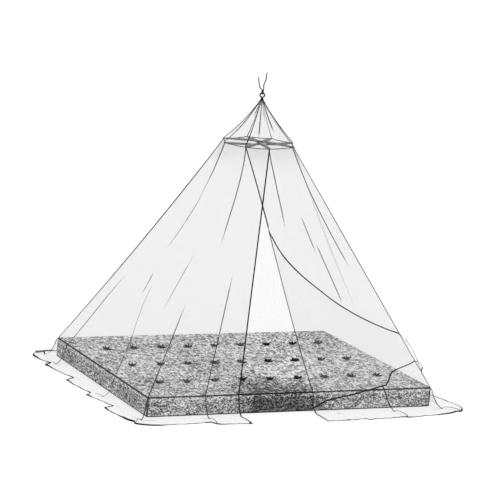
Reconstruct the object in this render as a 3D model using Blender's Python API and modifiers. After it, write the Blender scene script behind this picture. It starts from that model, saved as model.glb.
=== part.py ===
"""Mosquito net canopy, hung from a ring and spread by crossed slats, over a plain mattress.

Metres, +Z up. The origin is the middle of the mattress's underside, on the floor.
+X runs along the mattress's long side and +Y away from the net's door.
"""
import math
from typing import NamedTuple

import bmesh
import bpy
from mathutils import Matrix, Vector

# Driving dimensions
MATTRESS_LENGTH = 2.00
MATTRESS_WIDTH = 1.60
MATTRESS_HEIGHT = 0.13
MATTRESS_EDGE = 0.012          # radius of the mattress's rounded edges
TOUCH_GAP = 0.0003             # what is left between pieces that touch
NET_THICKNESS = 0.0012

RIM_RADIUS = 0.248             # from the tent's axis to the rim's cord at a slat's end
RIM_HEIGHT = 1.60
RIM_CORD_RADIUS = 0.0025
RIM_SCALLOP = 0.008            # how far the rim is drawn in between two slat ends
RIM_DROOP = 0.003
WALL_SEAT = RIM_CORD_RADIUS + TOUCH_GAP + 0.5 * NET_THICKNESS    # below the cord's middle
CROWN_SEAT = RIM_CORD_RADIUS + TOUCH_GAP + 0.7 * NET_THICKNESS   # above it
TIP_TURNS = (0, 45, 83, 135, 180, 225, 263, 315)   # the slats' ends, in degrees from +X
TIP_COUNT = len(TIP_TURNS)

SLAT_WIDTH = 0.021
SLAT_THICKNESS = 0.0065
SLAT_PITCH = SLAT_THICKNESS + 0.0004
SLAT_TIP_WIDTH = 0.0072
SLAT_LENGTH = RIM_RADIUS - 1.6 * RIM_CORD_RADIUS    # from the pin to a pointed end
PIN_RADIUS = 0.0025
PIN_HEAD_RADIUS = 0.0065
PIN_HEAD_HEIGHT = 0.003

RING_HEIGHT = 1.914            # middle of the hanging ring
RING_RADIUS = 0.0150           # to the middle of its wire
RING_WIRE_RADIUS = 0.0033
RING_TURN = math.radians(-25)  # the ring hangs facing a little to the left
NECK_RADIUS = 0.006            # the crown's gather under the ring

TIE_RADIUS = 0.002
KNOT_RADIUS = 0.0065
KNOT_SIDES = 12

# Wall
NET_CLEARANCE = 0.0024         # between the mattress's rounded edge and the net that falls over it
EDGE_TURN = math.radians(27)   # where the net passes the edge, up from its outermost line
EDGE_OUT = (MATTRESS_EDGE + NET_CLEARANCE) * math.cos(EDGE_TURN) - MATTRESS_EDGE
EDGE_DROP = MATTRESS_EDGE - (MATTRESS_EDGE + NET_CLEARANCE) * math.sin(EDGE_TURN)
OVERLAP_INSET = 0.0025         # the door's right panel starts this far inside the left one
PANEL_HOLLOW = 0.030           # how far the net sinks in between two of its lines
CREASE_WIDTH = 1 / 8           # half a crease's width, as a share of the way between two lines
PLEAT_PUSH = 0.020             # how far a pleat stands out from the skirt
PLEAT_RISE = 0.014             # how high a pleat lies over the floor
COLUMNS_PER_LINE = 8

# Door flap
FLAP_APEX_ROW = 5              # wall row where the fold starts
FLAP_FOOT_ROW = 13             # lowest wall row that the fold takes in
FLAP_WIDTH = 0.84              # the flap's width across, at its hem
FLAP_SPREAD = 1.6              # how its width grows down the fold
FLAP_RISE = 0.41               # how steeply its rows climb to the right
FLAP_BEND_RADIUS = 0.006
FLAP_PUFF = 0.016              # how far the flap's middle stands off the wall
FLAP_FALL = 0.35               # how steeply they fall again past the ridge
FLAP_COLUMNS = 12
FLAP_LINES = (7, 8, 9)         # the wall's lines that it is stretched over, ridge first


class Line(NamedTuple):
    """One line of the wall, from a slat's end to the mattress's edge and out to the hem."""

    run: float     # where it meets the mattress, along its outline from the front-left corner
    lean: float    # how far it hangs inside a straight line at mid-height
    reach: float   # how far its hem lies out on the floor


# From the door's hanging edge round by the left, the back and the right to the door's fold.
# Each starts at the slat end that is next round from the one before it.
LINES = (
    Line(-0.625, 0.000, 0.235),
    Line(0.00, 0.026, 0.190),
    Line(0.58, 0.030, 0.175),
    Line(1.60, 0.028, 0.165),
    Line(2.60, 0.036, 0.170),
    Line(3.60, 0.036, 0.195),
    Line(4.40, 0.032, 0.165),
    Line(5.20, 0.004, 0.225),
    Line(5.76, 0.014, 0.250),
    Line(6.06, 0.030, 0.245),
)
FIRST_TIP = 6                  # place in TIP_TURNS of the first line's slat end


class Crease(NamedTuple):
    """A crease of the wall, which runs out on the floor as a pleat of the hem."""

    place: float   # number of its line, or a place between two lines
    start: float   # where it starts, from 0 at the rim to 1 at the mattress's edge
    height: float  # how far it stands out at mid-height
    pleat: float   # size of its pleat on the floor, 0 to 1
    notch: float   # share of its reach that the hem draws back, on the pleat's door-edge side


CREASES = (
    Crease(0.375, 0.45, 0.016, 1.0, 0.12),
    Crease(1.000, 0.05, 0.010, 1.0, 0.22),
    Crease(1.375, 0.40, 0.016, 0.6, 0.20),
    Crease(2.000, 0.05, 0.018, 1.0, 0.45),
    Crease(2.375, 0.80, 0.006, 0.6, 0.25),
    Crease(2.750, 0.55, 0.018, 1.0, 0.45),
    Crease(3.000, 0.05, 0.006, 1.0, 0.40),
    Crease(3.375, 0.50, 0.014, 0.7, 0.15),
    Crease(3.750, 0.85, 0.000, 0.6, 0.30),
    Crease(4.000, 0.05, 0.016, 0.9, 0.20),
    Crease(4.500, 0.45, 0.018, 0.8, 0.35),
    Crease(5.000, 0.05, 0.008, 1.0, 0.25),
    Crease(5.375, 0.60, 0.014, 0.7, 0.20),
    Crease(6.000, 0.05, 0.016, 0.9, 0.35),
    Crease(6.500, 0.40, 0.016, 0.7, 0.25),
    Crease(7.000, 0.05, 0.004, 1.0, 0.30),
    Crease(7.500, 0.20, 0.016, 0.9, 0.12),
    Crease(8.000, 0.05, 0.010, 0.4, 0.06),
    Crease(8.500, 0.90, 0.000, 0.8, 0.10),
)


class SkirtRow(NamedTuple):
    """A row of the skirt, which hangs beside the mattress."""

    height: float  # above the floor
    out: float     # from the mattress's side


DROP_SHARES = (0.0, 0.05, 0.11, 0.18, 0.26, 0.33, 0.45, 0.59, 0.73, 0.87, 1.0)
SKIRT_ROWS = (
    SkirtRow(0.110, 0.008),
    SkirtRow(0.065, 0.016),
    SkirtRow(0.026, 0.032),
    SkirtRow(0.006, 0.052),
    SkirtRow(0.000, 0.068),
)
FLOOR_SHARES = (0.35, 0.70, 1.0)

CROWN_SHARES = (0.0, 0.03, 0.09, 0.19, 0.34, 0.50, 0.67, 0.84, 1.0)
CROWN_CURVE = 1.10             # above 1 the crown's sides hang in a little
CROWN_HOLLOW = 0.07
CROWN_PLEAT = 0.16             # depth of the gather's pleats at the neck
CROWN_COLUMNS_PER_TIP = 6

# The tie's two free ends, seen along the ring's axis: across, and up from the knot's middle
TAIL_LEFT = ((-0.0039, 0.0056), (-0.0075, 0.0107), (-0.0150, 0.0180), (-0.0215, 0.0270),
             (-0.0262, 0.0440), (-0.0285, 0.0580), (-0.0310, 0.0740), (-0.0328, 0.0900))
TAIL_RIGHT = ((0.0030, 0.0061), (0.0058, 0.0118), (0.0060, 0.0220), (0.0045, 0.0340),
              (0.0070, 0.0500), (0.0145, 0.0680), (0.0176, 0.0800), (0.0160, 0.0970),
              (0.0180, 0.1100), (0.0205, 0.1220))
TAIL_STEPS = 3                 # points read from the smooth curve between two route points

NET_WHITE = (0.86, 0.87, 0.88, 1.0)
SLAT_GREY = (0.36, 0.36, 0.36, 1.0)
STEEL_GREY = (0.30, 0.30, 0.31, 1.0)
CORD_GREY = (0.10, 0.10, 0.10, 1.0)
TICKING_GREY = (0.45, 0.45, 0.45, 1.0)


def material(name, color, roughness, metallic=0.0):
    """A plain Principled material."""
    made = bpy.data.materials.new(name)
    made.use_nodes = True
    shader = made.node_tree.nodes["Principled BSDF"]
    shader.inputs["Base Color"].default_value = color
    shader.inputs["Roughness"].default_value = roughness
    shader.inputs["Metallic"].default_value = metallic
    return made


def add_object(name, data, collection, finish, smooth_angle=None):
    """Link a named object with its own material."""
    made = bpy.data.objects.new(name, data)
    collection.objects.link(made)
    data.materials.append(finish)
    if smooth_angle is not None:
        data.shade_smooth()
        data.set_sharp_from_angle(angle=math.radians(smooth_angle))
    return made


def mesh_from(bm, name):
    """Turn a bmesh into a mesh and free it."""
    mesh = bpy.data.meshes.new(name)
    bm.to_mesh(mesh)
    bm.free()
    return mesh


def blend(low, high, value):
    """0 below low, 1 above high, and a smooth step between."""
    share = min(max((value - low) / (high - low), 0.0), 1.0)
    return share * share * (3 - 2 * share)


def arch(share):
    """0 at both ends of a span and 1 in its middle."""
    return 4 * share * (1 - share)


def tip_way(number):
    """Way out along the slat end with this number."""
    turn = math.radians(TIP_TURNS[number % TIP_COUNT])
    return Vector((math.cos(turn), math.sin(turn), 0))


def rim(place, inset=0.0):
    """Point on the rim at a place counted in slat ends, and the way out from it."""
    sector = math.floor(place)
    share = place - sector
    near, far = tip_way(sector), tip_way(sector + 1)
    out = (near + far).normalized()
    point = near.lerp(far, share) * (RIM_RADIUS - inset) - out * RIM_SCALLOP * arch(share)
    point.z = RIM_HEIGHT - RIM_DROOP * arch(share)
    return point, near.lerp(far, share).normalized()


class Side(NamedTuple):
    """A side of the mattress, walked from its front-left corner by the left side."""

    length: float
    depth: float   # from the mattress's middle to this side
    along: tuple
    out: tuple


SIDES = (
    Side(MATTRESS_WIDTH, MATTRESS_LENGTH / 2, (0, 1, 0), (-1, 0, 0)),
    Side(MATTRESS_LENGTH, MATTRESS_WIDTH / 2, (1, 0, 0), (0, 1, 0)),
    Side(MATTRESS_WIDTH, MATTRESS_LENGTH / 2, (0, -1, 0), (1, 0, 0)),
    Side(MATTRESS_LENGTH, MATTRESS_WIDTH / 2, (-1, 0, 0), (0, -1, 0)),
)
OUTLINE_LENGTH = sum(side.length for side in SIDES)


def outline(run, grow):
    """Point at a distance outside the mattress's outline, and the way out from it."""
    left = run % OUTLINE_LENGTH
    for side in SIDES:
        if left <= side.length:
            break
        left -= side.length
    along, out = Vector(side.along), Vector(side.out)
    offset = left - side.length / 2
    straight = side.length / 2 - MATTRESS_EDGE
    if abs(offset) <= straight:
        return along * offset + out * (side.depth + grow), out
    angle = (abs(offset) - straight) / MATTRESS_EDGE * math.pi / 4
    way = out * math.cos(angle) + along * math.copysign(math.sin(angle), offset)
    centre = along * math.copysign(straight, offset) + out * (side.depth - MATTRESS_EDGE)
    return centre + way * (MATTRESS_EDGE + grow), way


def line_value(place, field):
    """A line's value at a place between two lines."""
    number = min(int(place), len(LINES) - 2)
    low, high = getattr(LINES[number], field), getattr(LINES[number + 1], field)
    return low + (high - low) * (place - number)


def crease_share(place, crease):
    """How much of a crease stands at this place: 1 on its ridge, 0 beside it."""
    return max(0.0, 1 - abs(place - crease.place) / CREASE_WIDTH)


def crease_height(place, share):
    """How far creases lift the wall at a place and a share of the way down."""
    return sum(c.height * blend(c.start, c.start + 0.2, share) * crease_share(place, c)
               for c in CREASES)


def pleat(place):
    """Size of the hem's pleat at a place, 0 to 1."""
    return sum(c.pleat * crease_share(place, c) for c in CREASES)


def drop_point(place, share):
    """Point of the wall between the rim, at share 0, and the mattress's edge, at share 1."""
    top, top_out = rim(FIRST_TIP - place, NET_THICKNESS / 2 + OVERLAP_INSET * blend(7, 8, place))
    top.z -= WALL_SEAT
    foot, _ = outline(line_value(place, "run"), EDGE_OUT)
    foot_out = foot.normalized()
    foot.z = MATTRESS_HEIGHT - EDGE_DROP
    hang = line_value(place, "lean") * arch(share)
    hollow = PANEL_HOLLOW * blend(0, 0.5, share) * arch(share) * arch(place % 1)
    lift = crease_height(place, share) * arch(share)
    way = top_out.lerp(foot_out, share).normalized()
    return top.lerp(foot, share) - way * (hang + hollow - lift)


def skirt_point(place, row):
    """Point of the skirt beside the mattress."""
    fall = 1 - row.height / MATTRESS_HEIGHT
    push = PLEAT_PUSH * pleat(place) * fall
    point, _ = outline(line_value(place, "run"), row.out + push)
    point.z = row.height
    return point


def hem_reach(place):
    """How far the hem lies out: full at each pleat, and drawn back on one side of it."""
    reach = line_value(place, "reach")
    for before, after in zip(CREASES, CREASES[1:]):
        if before.place < place <= after.place:
            share = (place - before.place) / (after.place - before.place)
            return reach * (1 - after.notch * (1 - share))
    return reach


def floor_point(place, share):
    """Point of the hem's border, which lies on the floor."""
    size = pleat(place)
    start = SKIRT_ROWS[-1].out + PLEAT_PUSH * size
    point, _ = outline(line_value(place, "run"), start + (hem_reach(place) - start) * share)
    point.z = PLEAT_RISE * size * arch(0.25 + share / 2) if share < 1 else 0.0
    return point


def wall_places():
    """The wall's columns, with four more to turn each corner of the mattress."""
    places = {n / COLUMNS_PER_LINE for n in range((len(LINES) - 1) * COLUMNS_PER_LINE + 1)}
    for number in range(1, len(LINES) - 1):
        at_corner = min(abs(LINES[number].run - c) for c in (0, 1.6, 3.6, 5.2)) < MATTRESS_EDGE
        if not at_corner:
            continue
        before = LINES[number].run - LINES[number - 1].run
        after = LINES[number + 1].run - LINES[number].run
        for step in (MATTRESS_EDGE / 2, MATTRESS_EDGE):
            places.add(number - step / before)
            places.add(number + step / after)
    return sorted(places)


def wall_column(place):
    """All points of one column of the wall, from the rim to the hem."""
    column = [drop_point(place, share) for share in DROP_SHARES]
    column += [skirt_point(place, row) for row in SKIRT_ROWS]
    column += [floor_point(place, share) for share in FLOOR_SHARES]
    return column


def at_height(column, height):
    """Where a column of the wall passes a height."""
    for upper, lower in zip(column, column[1:]):
        if lower.z <= height <= upper.z:
            return lower.lerp(upper, (height - lower.z) / max(upper.z - lower.z, 1e-9))
    return column[0].copy() if height > column[0].z else column[len(DROP_SHARES)].copy()


def lay_over(lines, across, height, stand_off):
    """Point that stands off the door panel, or past its ridge turns round it on an arc.

    lines are the panel's lines, from the ridge at the mattress's corner to the door's fold.
    """
    level = [at_height(line, height) for line in lines]
    ridge = level[0]
    if across > ridge.x:
        fallen = height - FLAP_FALL * (across - ridge.x)
        ridge = at_height(lines[0], fallen)
        over = max(across - ridge.x, 0.0)
        turn = min(over / stand_off, math.pi / 2)
        past = over - turn * stand_off
        return Vector((ridge.x + stand_off * math.sin(turn),
                       ridge.y - stand_off * math.cos(turn) + past, fallen))
    for right, left in zip(level, level[1:]):
        if left.x <= across <= right.x:
            share = (across - left.x) / max(right.x - left.x, 1e-9)
            return Vector((across, left.lerp(right, share).y - stand_off, height))
    return Vector((across, level[-1].y - stand_off, height))


def flap_rows(columns, lines):
    """Rows of the door flap: round the fold, then back over the outside of the wall.

    columns are the wall's last two, and lines the ones that the flap is stretched over.
    """
    fold = columns[-1]
    length = sum((fold[r + 1] - fold[r]).length for r in range(FLAP_APEX_ROW, FLAP_FOOT_ROW))
    rows, gone = {}, 0.0
    for row in range(FLAP_APEX_ROW + 1, FLAP_FOOT_ROW + 1):
        gone += (fold[row] - fold[row - 1]).length
        width = FLAP_WIDTH * (gone / length) ** FLAP_SPREAD
        right = (columns[-2][row] - fold[row]).normalized()
        down = (fold[row] - fold[row - 1]).normalized()
        out = down.cross(right).normalized()
        out = -out if out.y > 0 else out
        points = []
        for angle in (45, 90, 135, 180):
            turn = math.radians(angle)
            way = out * (1 - math.cos(turn)) - right * math.sin(turn)
            points.append(fold[row] + FLAP_BEND_RADIUS * way)
        start = points[-1]
        seat = start - lay_over(lines, start.x, start.z, 2 * FLAP_BEND_RADIUS)
        for number in range(1, FLAP_COLUMNS + 1):
            share = number / FLAP_COLUMNS
            stand_off = 2 * FLAP_BEND_RADIUS + FLAP_PUFF * blend(0, 0.3, width * share)
            laid = lay_over(lines, start.x + width * share, start.z + FLAP_RISE * width * share, stand_off)
            points.append(laid + seat * (1 - share))
        rows[row] = points
    return rows


def sheet(name, bm, collection, finish, offset):
    """A closed sheet of net, grown from an open surface."""
    bmesh.ops.recalc_face_normals(bm, faces=bm.faces)
    made = add_object(name, mesh_from(bm, name), collection, finish, 60)
    thick = made.modifiers.new("Thickness", 'SOLIDIFY')
    thick.thickness = NET_THICKNESS
    thick.offset = offset
    return made


def build_wall(collection, finish):
    """The wall: one strip of net from the door's edge round to its fold, with the flap."""
    places = wall_places()
    columns = [wall_column(place) for place in places]
    flap = flap_rows(columns[-2:], [wall_column(place) for place in FLAP_LINES])
    bm = bmesh.new()
    grid = [[bm.verts.new(point) for point in column] for column in columns]
    for left, right in zip(grid, grid[1:]):
        for row in range(len(left) - 1):
            bm.faces.new((left[row], left[row + 1], right[row + 1], right[row]))
    apex = grid[-1][FLAP_APEX_ROW]
    above = [apex] * (1 + len(flap[FLAP_APEX_ROW + 1]))
    for row in range(FLAP_APEX_ROW + 1, FLAP_FOOT_ROW + 1):
        below = [grid[-1][row]] + [bm.verts.new(point) for point in flap[row]]
        for number in range(len(below) - 1):
            corners = [above[number], below[number], below[number + 1], above[number + 1]]
            bm.faces.new(list(dict.fromkeys(corners)))
        above = below
    return sheet("wall_net", bm, collection, finish, 1.0)


def crown_point(place, share):
    """Point of the crown between the neck, at share 0, and the rim, at share 1."""
    edge, _ = rim(place, -NET_THICKNESS / 2)
    edge.z += CROWN_SEAT
    top = RING_HEIGHT - RING_RADIUS - RING_WIRE_RADIUS - TOUCH_GAP
    neck = NECK_RADIUS / RIM_RADIUS
    size = neck + (1 - neck) * share ** CROWN_CURVE
    hollow = CROWN_HOLLOW * arch(share) * arch(place % 1)
    fine = place * CROWN_COLUMNS_PER_TIP
    size *= 1 - hollow + CROWN_PLEAT * math.cos(fine * math.pi) * (1 - share) ** 6
    return Vector((edge.x * size, edge.y * size, top + (edge.z - top) * share))


def build_crown(collection, finish):
    """The crown: a cone of net from the rim up to its gather under the ring."""
    count = TIP_COUNT * CROWN_COLUMNS_PER_TIP
    bm = bmesh.new()
    rings = [[bm.verts.new(crown_point(number / CROWN_COLUMNS_PER_TIP, share))
              for number in range(count)]
             for share in CROWN_SHARES]
    for upper, lower in zip(rings, rings[1:]):
        for number in range(count):
            after = (number + 1) % count
            bm.faces.new((upper[number], lower[number], lower[after], upper[after]))
    middle = bm.verts.new((0, 0, rings[0][0].co.z))
    for number in range(count):
        bm.faces.new((middle, rings[0][number], rings[0][(number + 1) % count]))
    return sheet("crown_net", bm, collection, finish, -1.0)


def tube(name, points, radius, collection, finish, closed=False):
    """A round cord along a list of points."""
    curve = bpy.data.curves.new(name, 'CURVE')
    curve.dimensions = '3D'
    curve.bevel_depth = radius
    curve.bevel_resolution = 2
    curve.use_fill_caps = not closed
    spline = curve.splines.new('POLY')
    spline.points.add(len(points) - 1)
    for slot, point in zip(spline.points, points):
        slot.co = (*point, 1.0)
    spline.use_cyclic_u = closed
    return add_object(name, curve, collection, finish)


def build_rim(collection, finish):
    """The bound seam between crown and wall, as a round cord through the slats' ends."""
    count = TIP_COUNT * COLUMNS_PER_LINE
    points = [rim(number / COLUMNS_PER_LINE)[0] for number in range(count)]
    return tube("rim_binding", points, RIM_CORD_RADIUS, collection, finish, closed=True)


def slat_outline(length):
    """Half of a slat's outline, as distance along it and half-width."""
    tip = SLAT_TIP_WIDTH / 2
    return ((0.0, SLAT_WIDTH / 2), (0.05 * length, SLAT_WIDTH / 2), (0.55 * length, SLAT_WIDTH / 2),
            (0.85 * length, 0.42 * SLAT_WIDTH), (0.965 * length, 0.30 * SLAT_WIDTH),
            (0.988 * length, tip), (length, tip / 3))


def build_slat(number, collection, finish):
    """One slat, sprung level at its ends, with the pin's hole through its middle."""
    length = SLAT_LENGTH
    level = (number - 1.5) * SLAT_PITCH
    half = slat_outline(length)
    stations = [(-along, width) for along, width in reversed(half[1:])] + list(half)
    bm = bmesh.new()
    sections = []
    for along, width in stations:
        rise = level * (1 - (along / length) ** 2)
        sections.append([bm.verts.new((along, across, rise + height))
                         for across, height in ((-width, -SLAT_THICKNESS / 2), (width, -SLAT_THICKNESS / 2),
                                                (width, SLAT_THICKNESS / 2), (-width, SLAT_THICKNESS / 2))])
    for near, far in zip(sections, sections[1:]):
        for corner in range(4):
            after = (corner + 1) % 4
            bm.faces.new((near[corner], near[after], far[after], far[corner]))
    bm.faces.new(sections[0][::-1])
    bm.faces.new(sections[-1])
    bmesh.ops.recalc_face_normals(bm, faces=bm.faces)
    name = f"slat_{number + 1}"
    slat = add_object(name, mesh_from(bm, name), collection, finish, 30)
    slat.location = (0, 0, RIM_HEIGHT)
    slat.rotation_euler = (0, 0, math.radians(TIP_TURNS[number]))
    return slat


def build_spreader(collection, cutters, slat_finish, pin_finish):
    """Four slats on one pin."""
    stack = 4 * SLAT_PITCH
    bpy.ops.mesh.primitive_cylinder_add(vertices=16, radius=PIN_RADIUS + TOUCH_GAP, depth=2 * stack,
                                        location=(0, 0, RIM_HEIGHT))
    cutter = bpy.context.object
    cutter.name = "pin_hole_cutter"
    cutter.hide_render = True
    cutter.display_type = 'WIRE'
    for owner in list(cutter.users_collection):
        owner.objects.unlink(cutter)
    cutters.objects.link(cutter)
    for number in range(TIP_COUNT // 2):
        slat = build_slat(number, collection, slat_finish)
        hole = slat.modifiers.new("Pin hole", 'BOOLEAN')
        hole.operation = 'DIFFERENCE'
        hole.object = cutter

    seat = stack / 2 + TOUCH_GAP / 2
    profile = ((0, seat + PIN_HEAD_HEIGHT), (0.6 * PIN_HEAD_RADIUS, seat + PIN_HEAD_HEIGHT),
               (PIN_HEAD_RADIUS, seat + 0.4 * PIN_HEAD_HEIGHT), (PIN_HEAD_RADIUS, seat),
               (PIN_RADIUS, seat), (PIN_RADIUS, -seat), (PIN_HEAD_RADIUS, -seat),
               (PIN_HEAD_RADIUS, -seat - 0.4 * PIN_HEAD_HEIGHT),
               (0.6 * PIN_HEAD_RADIUS, -seat - PIN_HEAD_HEIGHT), (0, -seat - PIN_HEAD_HEIGHT))
    bm = bmesh.new()
    verts = [bm.verts.new((radius, 0, height)) for radius, height in profile]
    for first, second in zip(verts, verts[1:]):
        bm.edges.new((first, second))
    pin = add_object("slat_pin", mesh_from(bm, "slat_pin"), collection, pin_finish, 40)
    turn = pin.modifiers.new("Turned", 'SCREW')
    turn.steps = turn.render_steps = 16
    turn.use_merge_vertices = True
    turn.merge_threshold = 0.00001
    pin.location = (0, 0, RIM_HEIGHT)
    return pin


def ring_frame(height):
    """Place and turn of something that stands in the ring's plane, its axis along the ring's."""
    return Matrix.Translation((0, 0, height)) @ Matrix.Rotation(RING_TURN, 4, 'Z')


def build_ring(collection, finish):
    """The hanging ring, upright, with its axis level."""
    bpy.ops.mesh.primitive_torus_add(major_radius=RING_RADIUS, minor_radius=RING_WIRE_RADIUS,
                                     major_segments=32, minor_segments=10)
    ring = bpy.context.object
    for owner in list(ring.users_collection):
        owner.objects.unlink(ring)
    collection.objects.link(ring)
    ring.name = ring.data.name = "hang_ring"
    ring.matrix_world = ring_frame(RING_HEIGHT) @ Matrix.Rotation(math.pi / 2, 4, 'X')
    ring.data.materials.append(finish)
    ring.data.shade_smooth()
    return ring


def knot_height():
    """Height of the knot's middle, over the ring's wire."""
    return RING_HEIGHT + RING_RADIUS + RING_WIRE_RADIUS + TOUCH_GAP + KNOT_RADIUS + 0.0002


def build_knot(collection, finish):
    """The tie's knot: a lump over the ring and two turns round its wire."""
    bpy.ops.mesh.primitive_uv_sphere_add(segments=KNOT_SIDES, ring_count=8, radius=KNOT_RADIUS)
    knot = bpy.context.object
    for owner in list(knot.users_collection):
        owner.objects.unlink(knot)
    collection.objects.link(knot)
    knot.name = knot.data.name = "tie_knot"
    knot.matrix_world = ring_frame(knot_height())
    knot.data.materials.append(finish)
    turns = []
    for side in (-1, 1):
        bpy.ops.mesh.primitive_torus_add(major_radius=RING_WIRE_RADIUS + 2 * TOUCH_GAP + TIE_RADIUS,
                                         minor_radius=TIE_RADIUS, major_segments=16, minor_segments=8)
        loop = bpy.context.object
        loop.data.transform(Matrix.Translation((side * 1.1 * TIE_RADIUS, 0, 0))
                            @ Matrix.Rotation(math.pi / 2, 4, 'Y'))
        loop.data.transform(ring_frame(RING_HEIGHT + RING_RADIUS))
        turns.append(loop)
    return knot, turns


def smooth_route(route):
    """Points on a smooth curve through the points of a route."""
    points = []
    for index in range(len(route) - 1):
        before = route[max(index - 1, 0)]
        start, end = route[index], route[index + 1]
        after = route[min(index + 2, len(route) - 1)]
        for step in range(TAIL_STEPS):
            t = step / TAIL_STEPS
            points.append(0.5 * (2 * start + (end - before) * t
                                 + (2 * before - 5 * start + 4 * end - after) * t * t
                                 + (3 * start - before - 3 * end + after) * t ** 3))
    points.append(route[-1])
    return points


def build_tail(name, route, collection, finish):
    """One free end of the tie, from the knot up."""
    place = ring_frame(knot_height())
    points = smooth_route([place @ Vector((across, 0, up)) for across, up in route])
    return tube(name, points, TIE_RADIUS, collection, finish)


def build_mattress(collection, finish):
    """The plain mattress that the net falls over."""
    bpy.ops.mesh.primitive_cube_add(size=1.0, location=(0, 0, MATTRESS_HEIGHT / 2),
                                    scale=(MATTRESS_LENGTH, MATTRESS_WIDTH, MATTRESS_HEIGHT))
    mattress = bpy.context.object
    bpy.ops.object.transform_apply(location=False, rotation=False, scale=True)
    for owner in list(mattress.users_collection):
        owner.objects.unlink(mattress)
    collection.objects.link(mattress)
    mattress.name = mattress.data.name = "mattress"
    mattress.data.materials.append(finish)
    edge = mattress.modifiers.new("Rounded edges", 'BEVEL')
    edge.width = MATTRESS_EDGE
    edge.segments = 3
    mattress.data.shade_smooth()
    return mattress


def main():
    """Build every piece."""
    for old in list(bpy.data.objects):
        bpy.data.objects.remove(old)
    collection = bpy.data.collections.new("Mosquito net canopy")
    cutters = bpy.data.collections.new("Cutters")
    for made in (collection, cutters):
        bpy.context.scene.collection.children.link(made)

    net = material("Net", NET_WHITE, 0.9)
    cord = material("Cord", CORD_GREY, 0.8)
    build_mattress(collection, material("Ticking", TICKING_GREY, 0.9))
    build_wall(collection, net)
    build_crown(collection, material("Crown net", NET_WHITE, 0.9))
    build_rim(collection, material("Binding", CORD_GREY, 0.8))
    build_spreader(collection, cutters, material("Slats", SLAT_GREY, 0.5),
                   material("Pin", STEEL_GREY, 0.35, 1.0))
    build_ring(collection, material("Ring", STEEL_GREY, 0.3, 1.0))
    knot, turns = build_knot(collection, cord)
    for turn in turns:
        join = knot.modifiers.new("Turn round the ring", 'BOOLEAN')
        join.operation = 'UNION'
        join.object = turn
        turn.hide_render = True
        turn.display_type = 'WIRE'
        for owner in list(turn.users_collection):
            owner.objects.unlink(turn)
        cutters.objects.link(turn)
    build_tail("tie_tail_left", TAIL_LEFT, collection, cord)
    build_tail("tie_tail_right", TAIL_RIGHT, collection, cord)


main()
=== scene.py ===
"""Looks of the mosquito net canopy: sheer net, crossed slats, ring, tie and tufted mattress.

Metres, +Z up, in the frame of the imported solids: the origin is the middle of the mattress's
underside, +X runs along its long side and +Y away from the net's door.
"""
import logging
from collections.abc import Callable, Iterable, Iterator, Sequence
from contextlib import contextmanager
from dataclasses import dataclass, field, fields
from enum import Enum
from math import atan2, copysign, cos, degrees, exp, floor, hypot, inf, pi, radians, sin, sqrt, tau
from typing import Any

import bmesh
import bpy
import numpy as np
from mathutils import Matrix, Vector


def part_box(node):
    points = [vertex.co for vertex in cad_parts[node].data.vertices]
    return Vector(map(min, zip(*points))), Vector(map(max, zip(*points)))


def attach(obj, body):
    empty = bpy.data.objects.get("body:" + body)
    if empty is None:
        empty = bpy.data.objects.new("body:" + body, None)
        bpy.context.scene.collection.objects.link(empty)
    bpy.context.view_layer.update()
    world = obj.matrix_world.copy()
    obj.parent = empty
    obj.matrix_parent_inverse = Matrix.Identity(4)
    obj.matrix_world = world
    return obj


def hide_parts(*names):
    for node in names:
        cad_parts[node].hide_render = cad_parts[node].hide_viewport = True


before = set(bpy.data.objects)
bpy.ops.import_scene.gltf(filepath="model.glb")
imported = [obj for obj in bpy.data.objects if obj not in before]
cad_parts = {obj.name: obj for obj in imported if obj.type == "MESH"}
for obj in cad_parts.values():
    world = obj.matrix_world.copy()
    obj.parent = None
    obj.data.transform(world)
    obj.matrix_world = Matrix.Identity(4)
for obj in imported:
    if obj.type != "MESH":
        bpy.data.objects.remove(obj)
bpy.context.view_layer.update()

log = logging.getLogger("canopy")

BODY = "root"
Piece = bpy.types.Object
Material = bpy.types.Material
Spot = tuple[int, int]                             # column and row of a point of cloth
Curve = tuple[tuple[float, float], ...]            # places and values of a drawn curve
Waves = tuple[tuple[float, float, float], ...]     # turns per unit, start and height of each wave
Points = list[tuple[float, float]]                 # points of a section, across and up
Section = Callable[[float], Points]                # the points at a distance along a cord
PanelLine = tuple[np.ndarray, np.ndarray, np.ndarray]    # a line's heights, rising, with its x and y


class Slot(Enum):
    """The part's slots, which name what its pieces are made of."""

    NET = "net"
    BINDING = "binding"
    SLATS = "slats"
    RING = "ring"
    CORD = "cord"
    TICKING = "ticking"


# Small sums

def smooth_step(low: float, high: float, value: float) -> float:
    """0 below low, 1 above high, and a smooth step between."""
    share = min(max((value - low) / (high - low), 0.0), 1.0)
    return share * share * (3 - 2 * share)


def arch(share: float) -> float:
    """0 at both ends of a span and 1 in its middle."""
    return 4 * share * (1 - share)


def ripple(place: float, waves: Waves) -> float:
    """Sum of a few waves at a place."""
    return sum(height * sin(tau * (turns * place + start)) for turns, start, height in waves)


def smooth_route(route: Sequence[Vector], steps: int) -> list[Vector]:
    """Points on a smooth curve through the points of a route.

    Args:
        route: The points that the curve passes.
        steps: How many points are read from the curve between two of them.

    Returns:
        The points, with the route's last one at the end.
    """
    points = []
    for index in range(len(route) - 1):
        before = route[max(index - 1, 0)]
        start, end = route[index], route[index + 1]
        after = route[min(index + 2, len(route) - 1)]
        for step in range(steps):
            t = step / steps
            points.append(0.5 * (2 * start + (end - before) * t
                                 + (2 * before - 5 * start + 4 * end - after) * t * t
                                 + (3 * start - before - 3 * end + after) * t ** 3))
    points.append(route[-1].copy())
    return points


# Finishes

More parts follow.
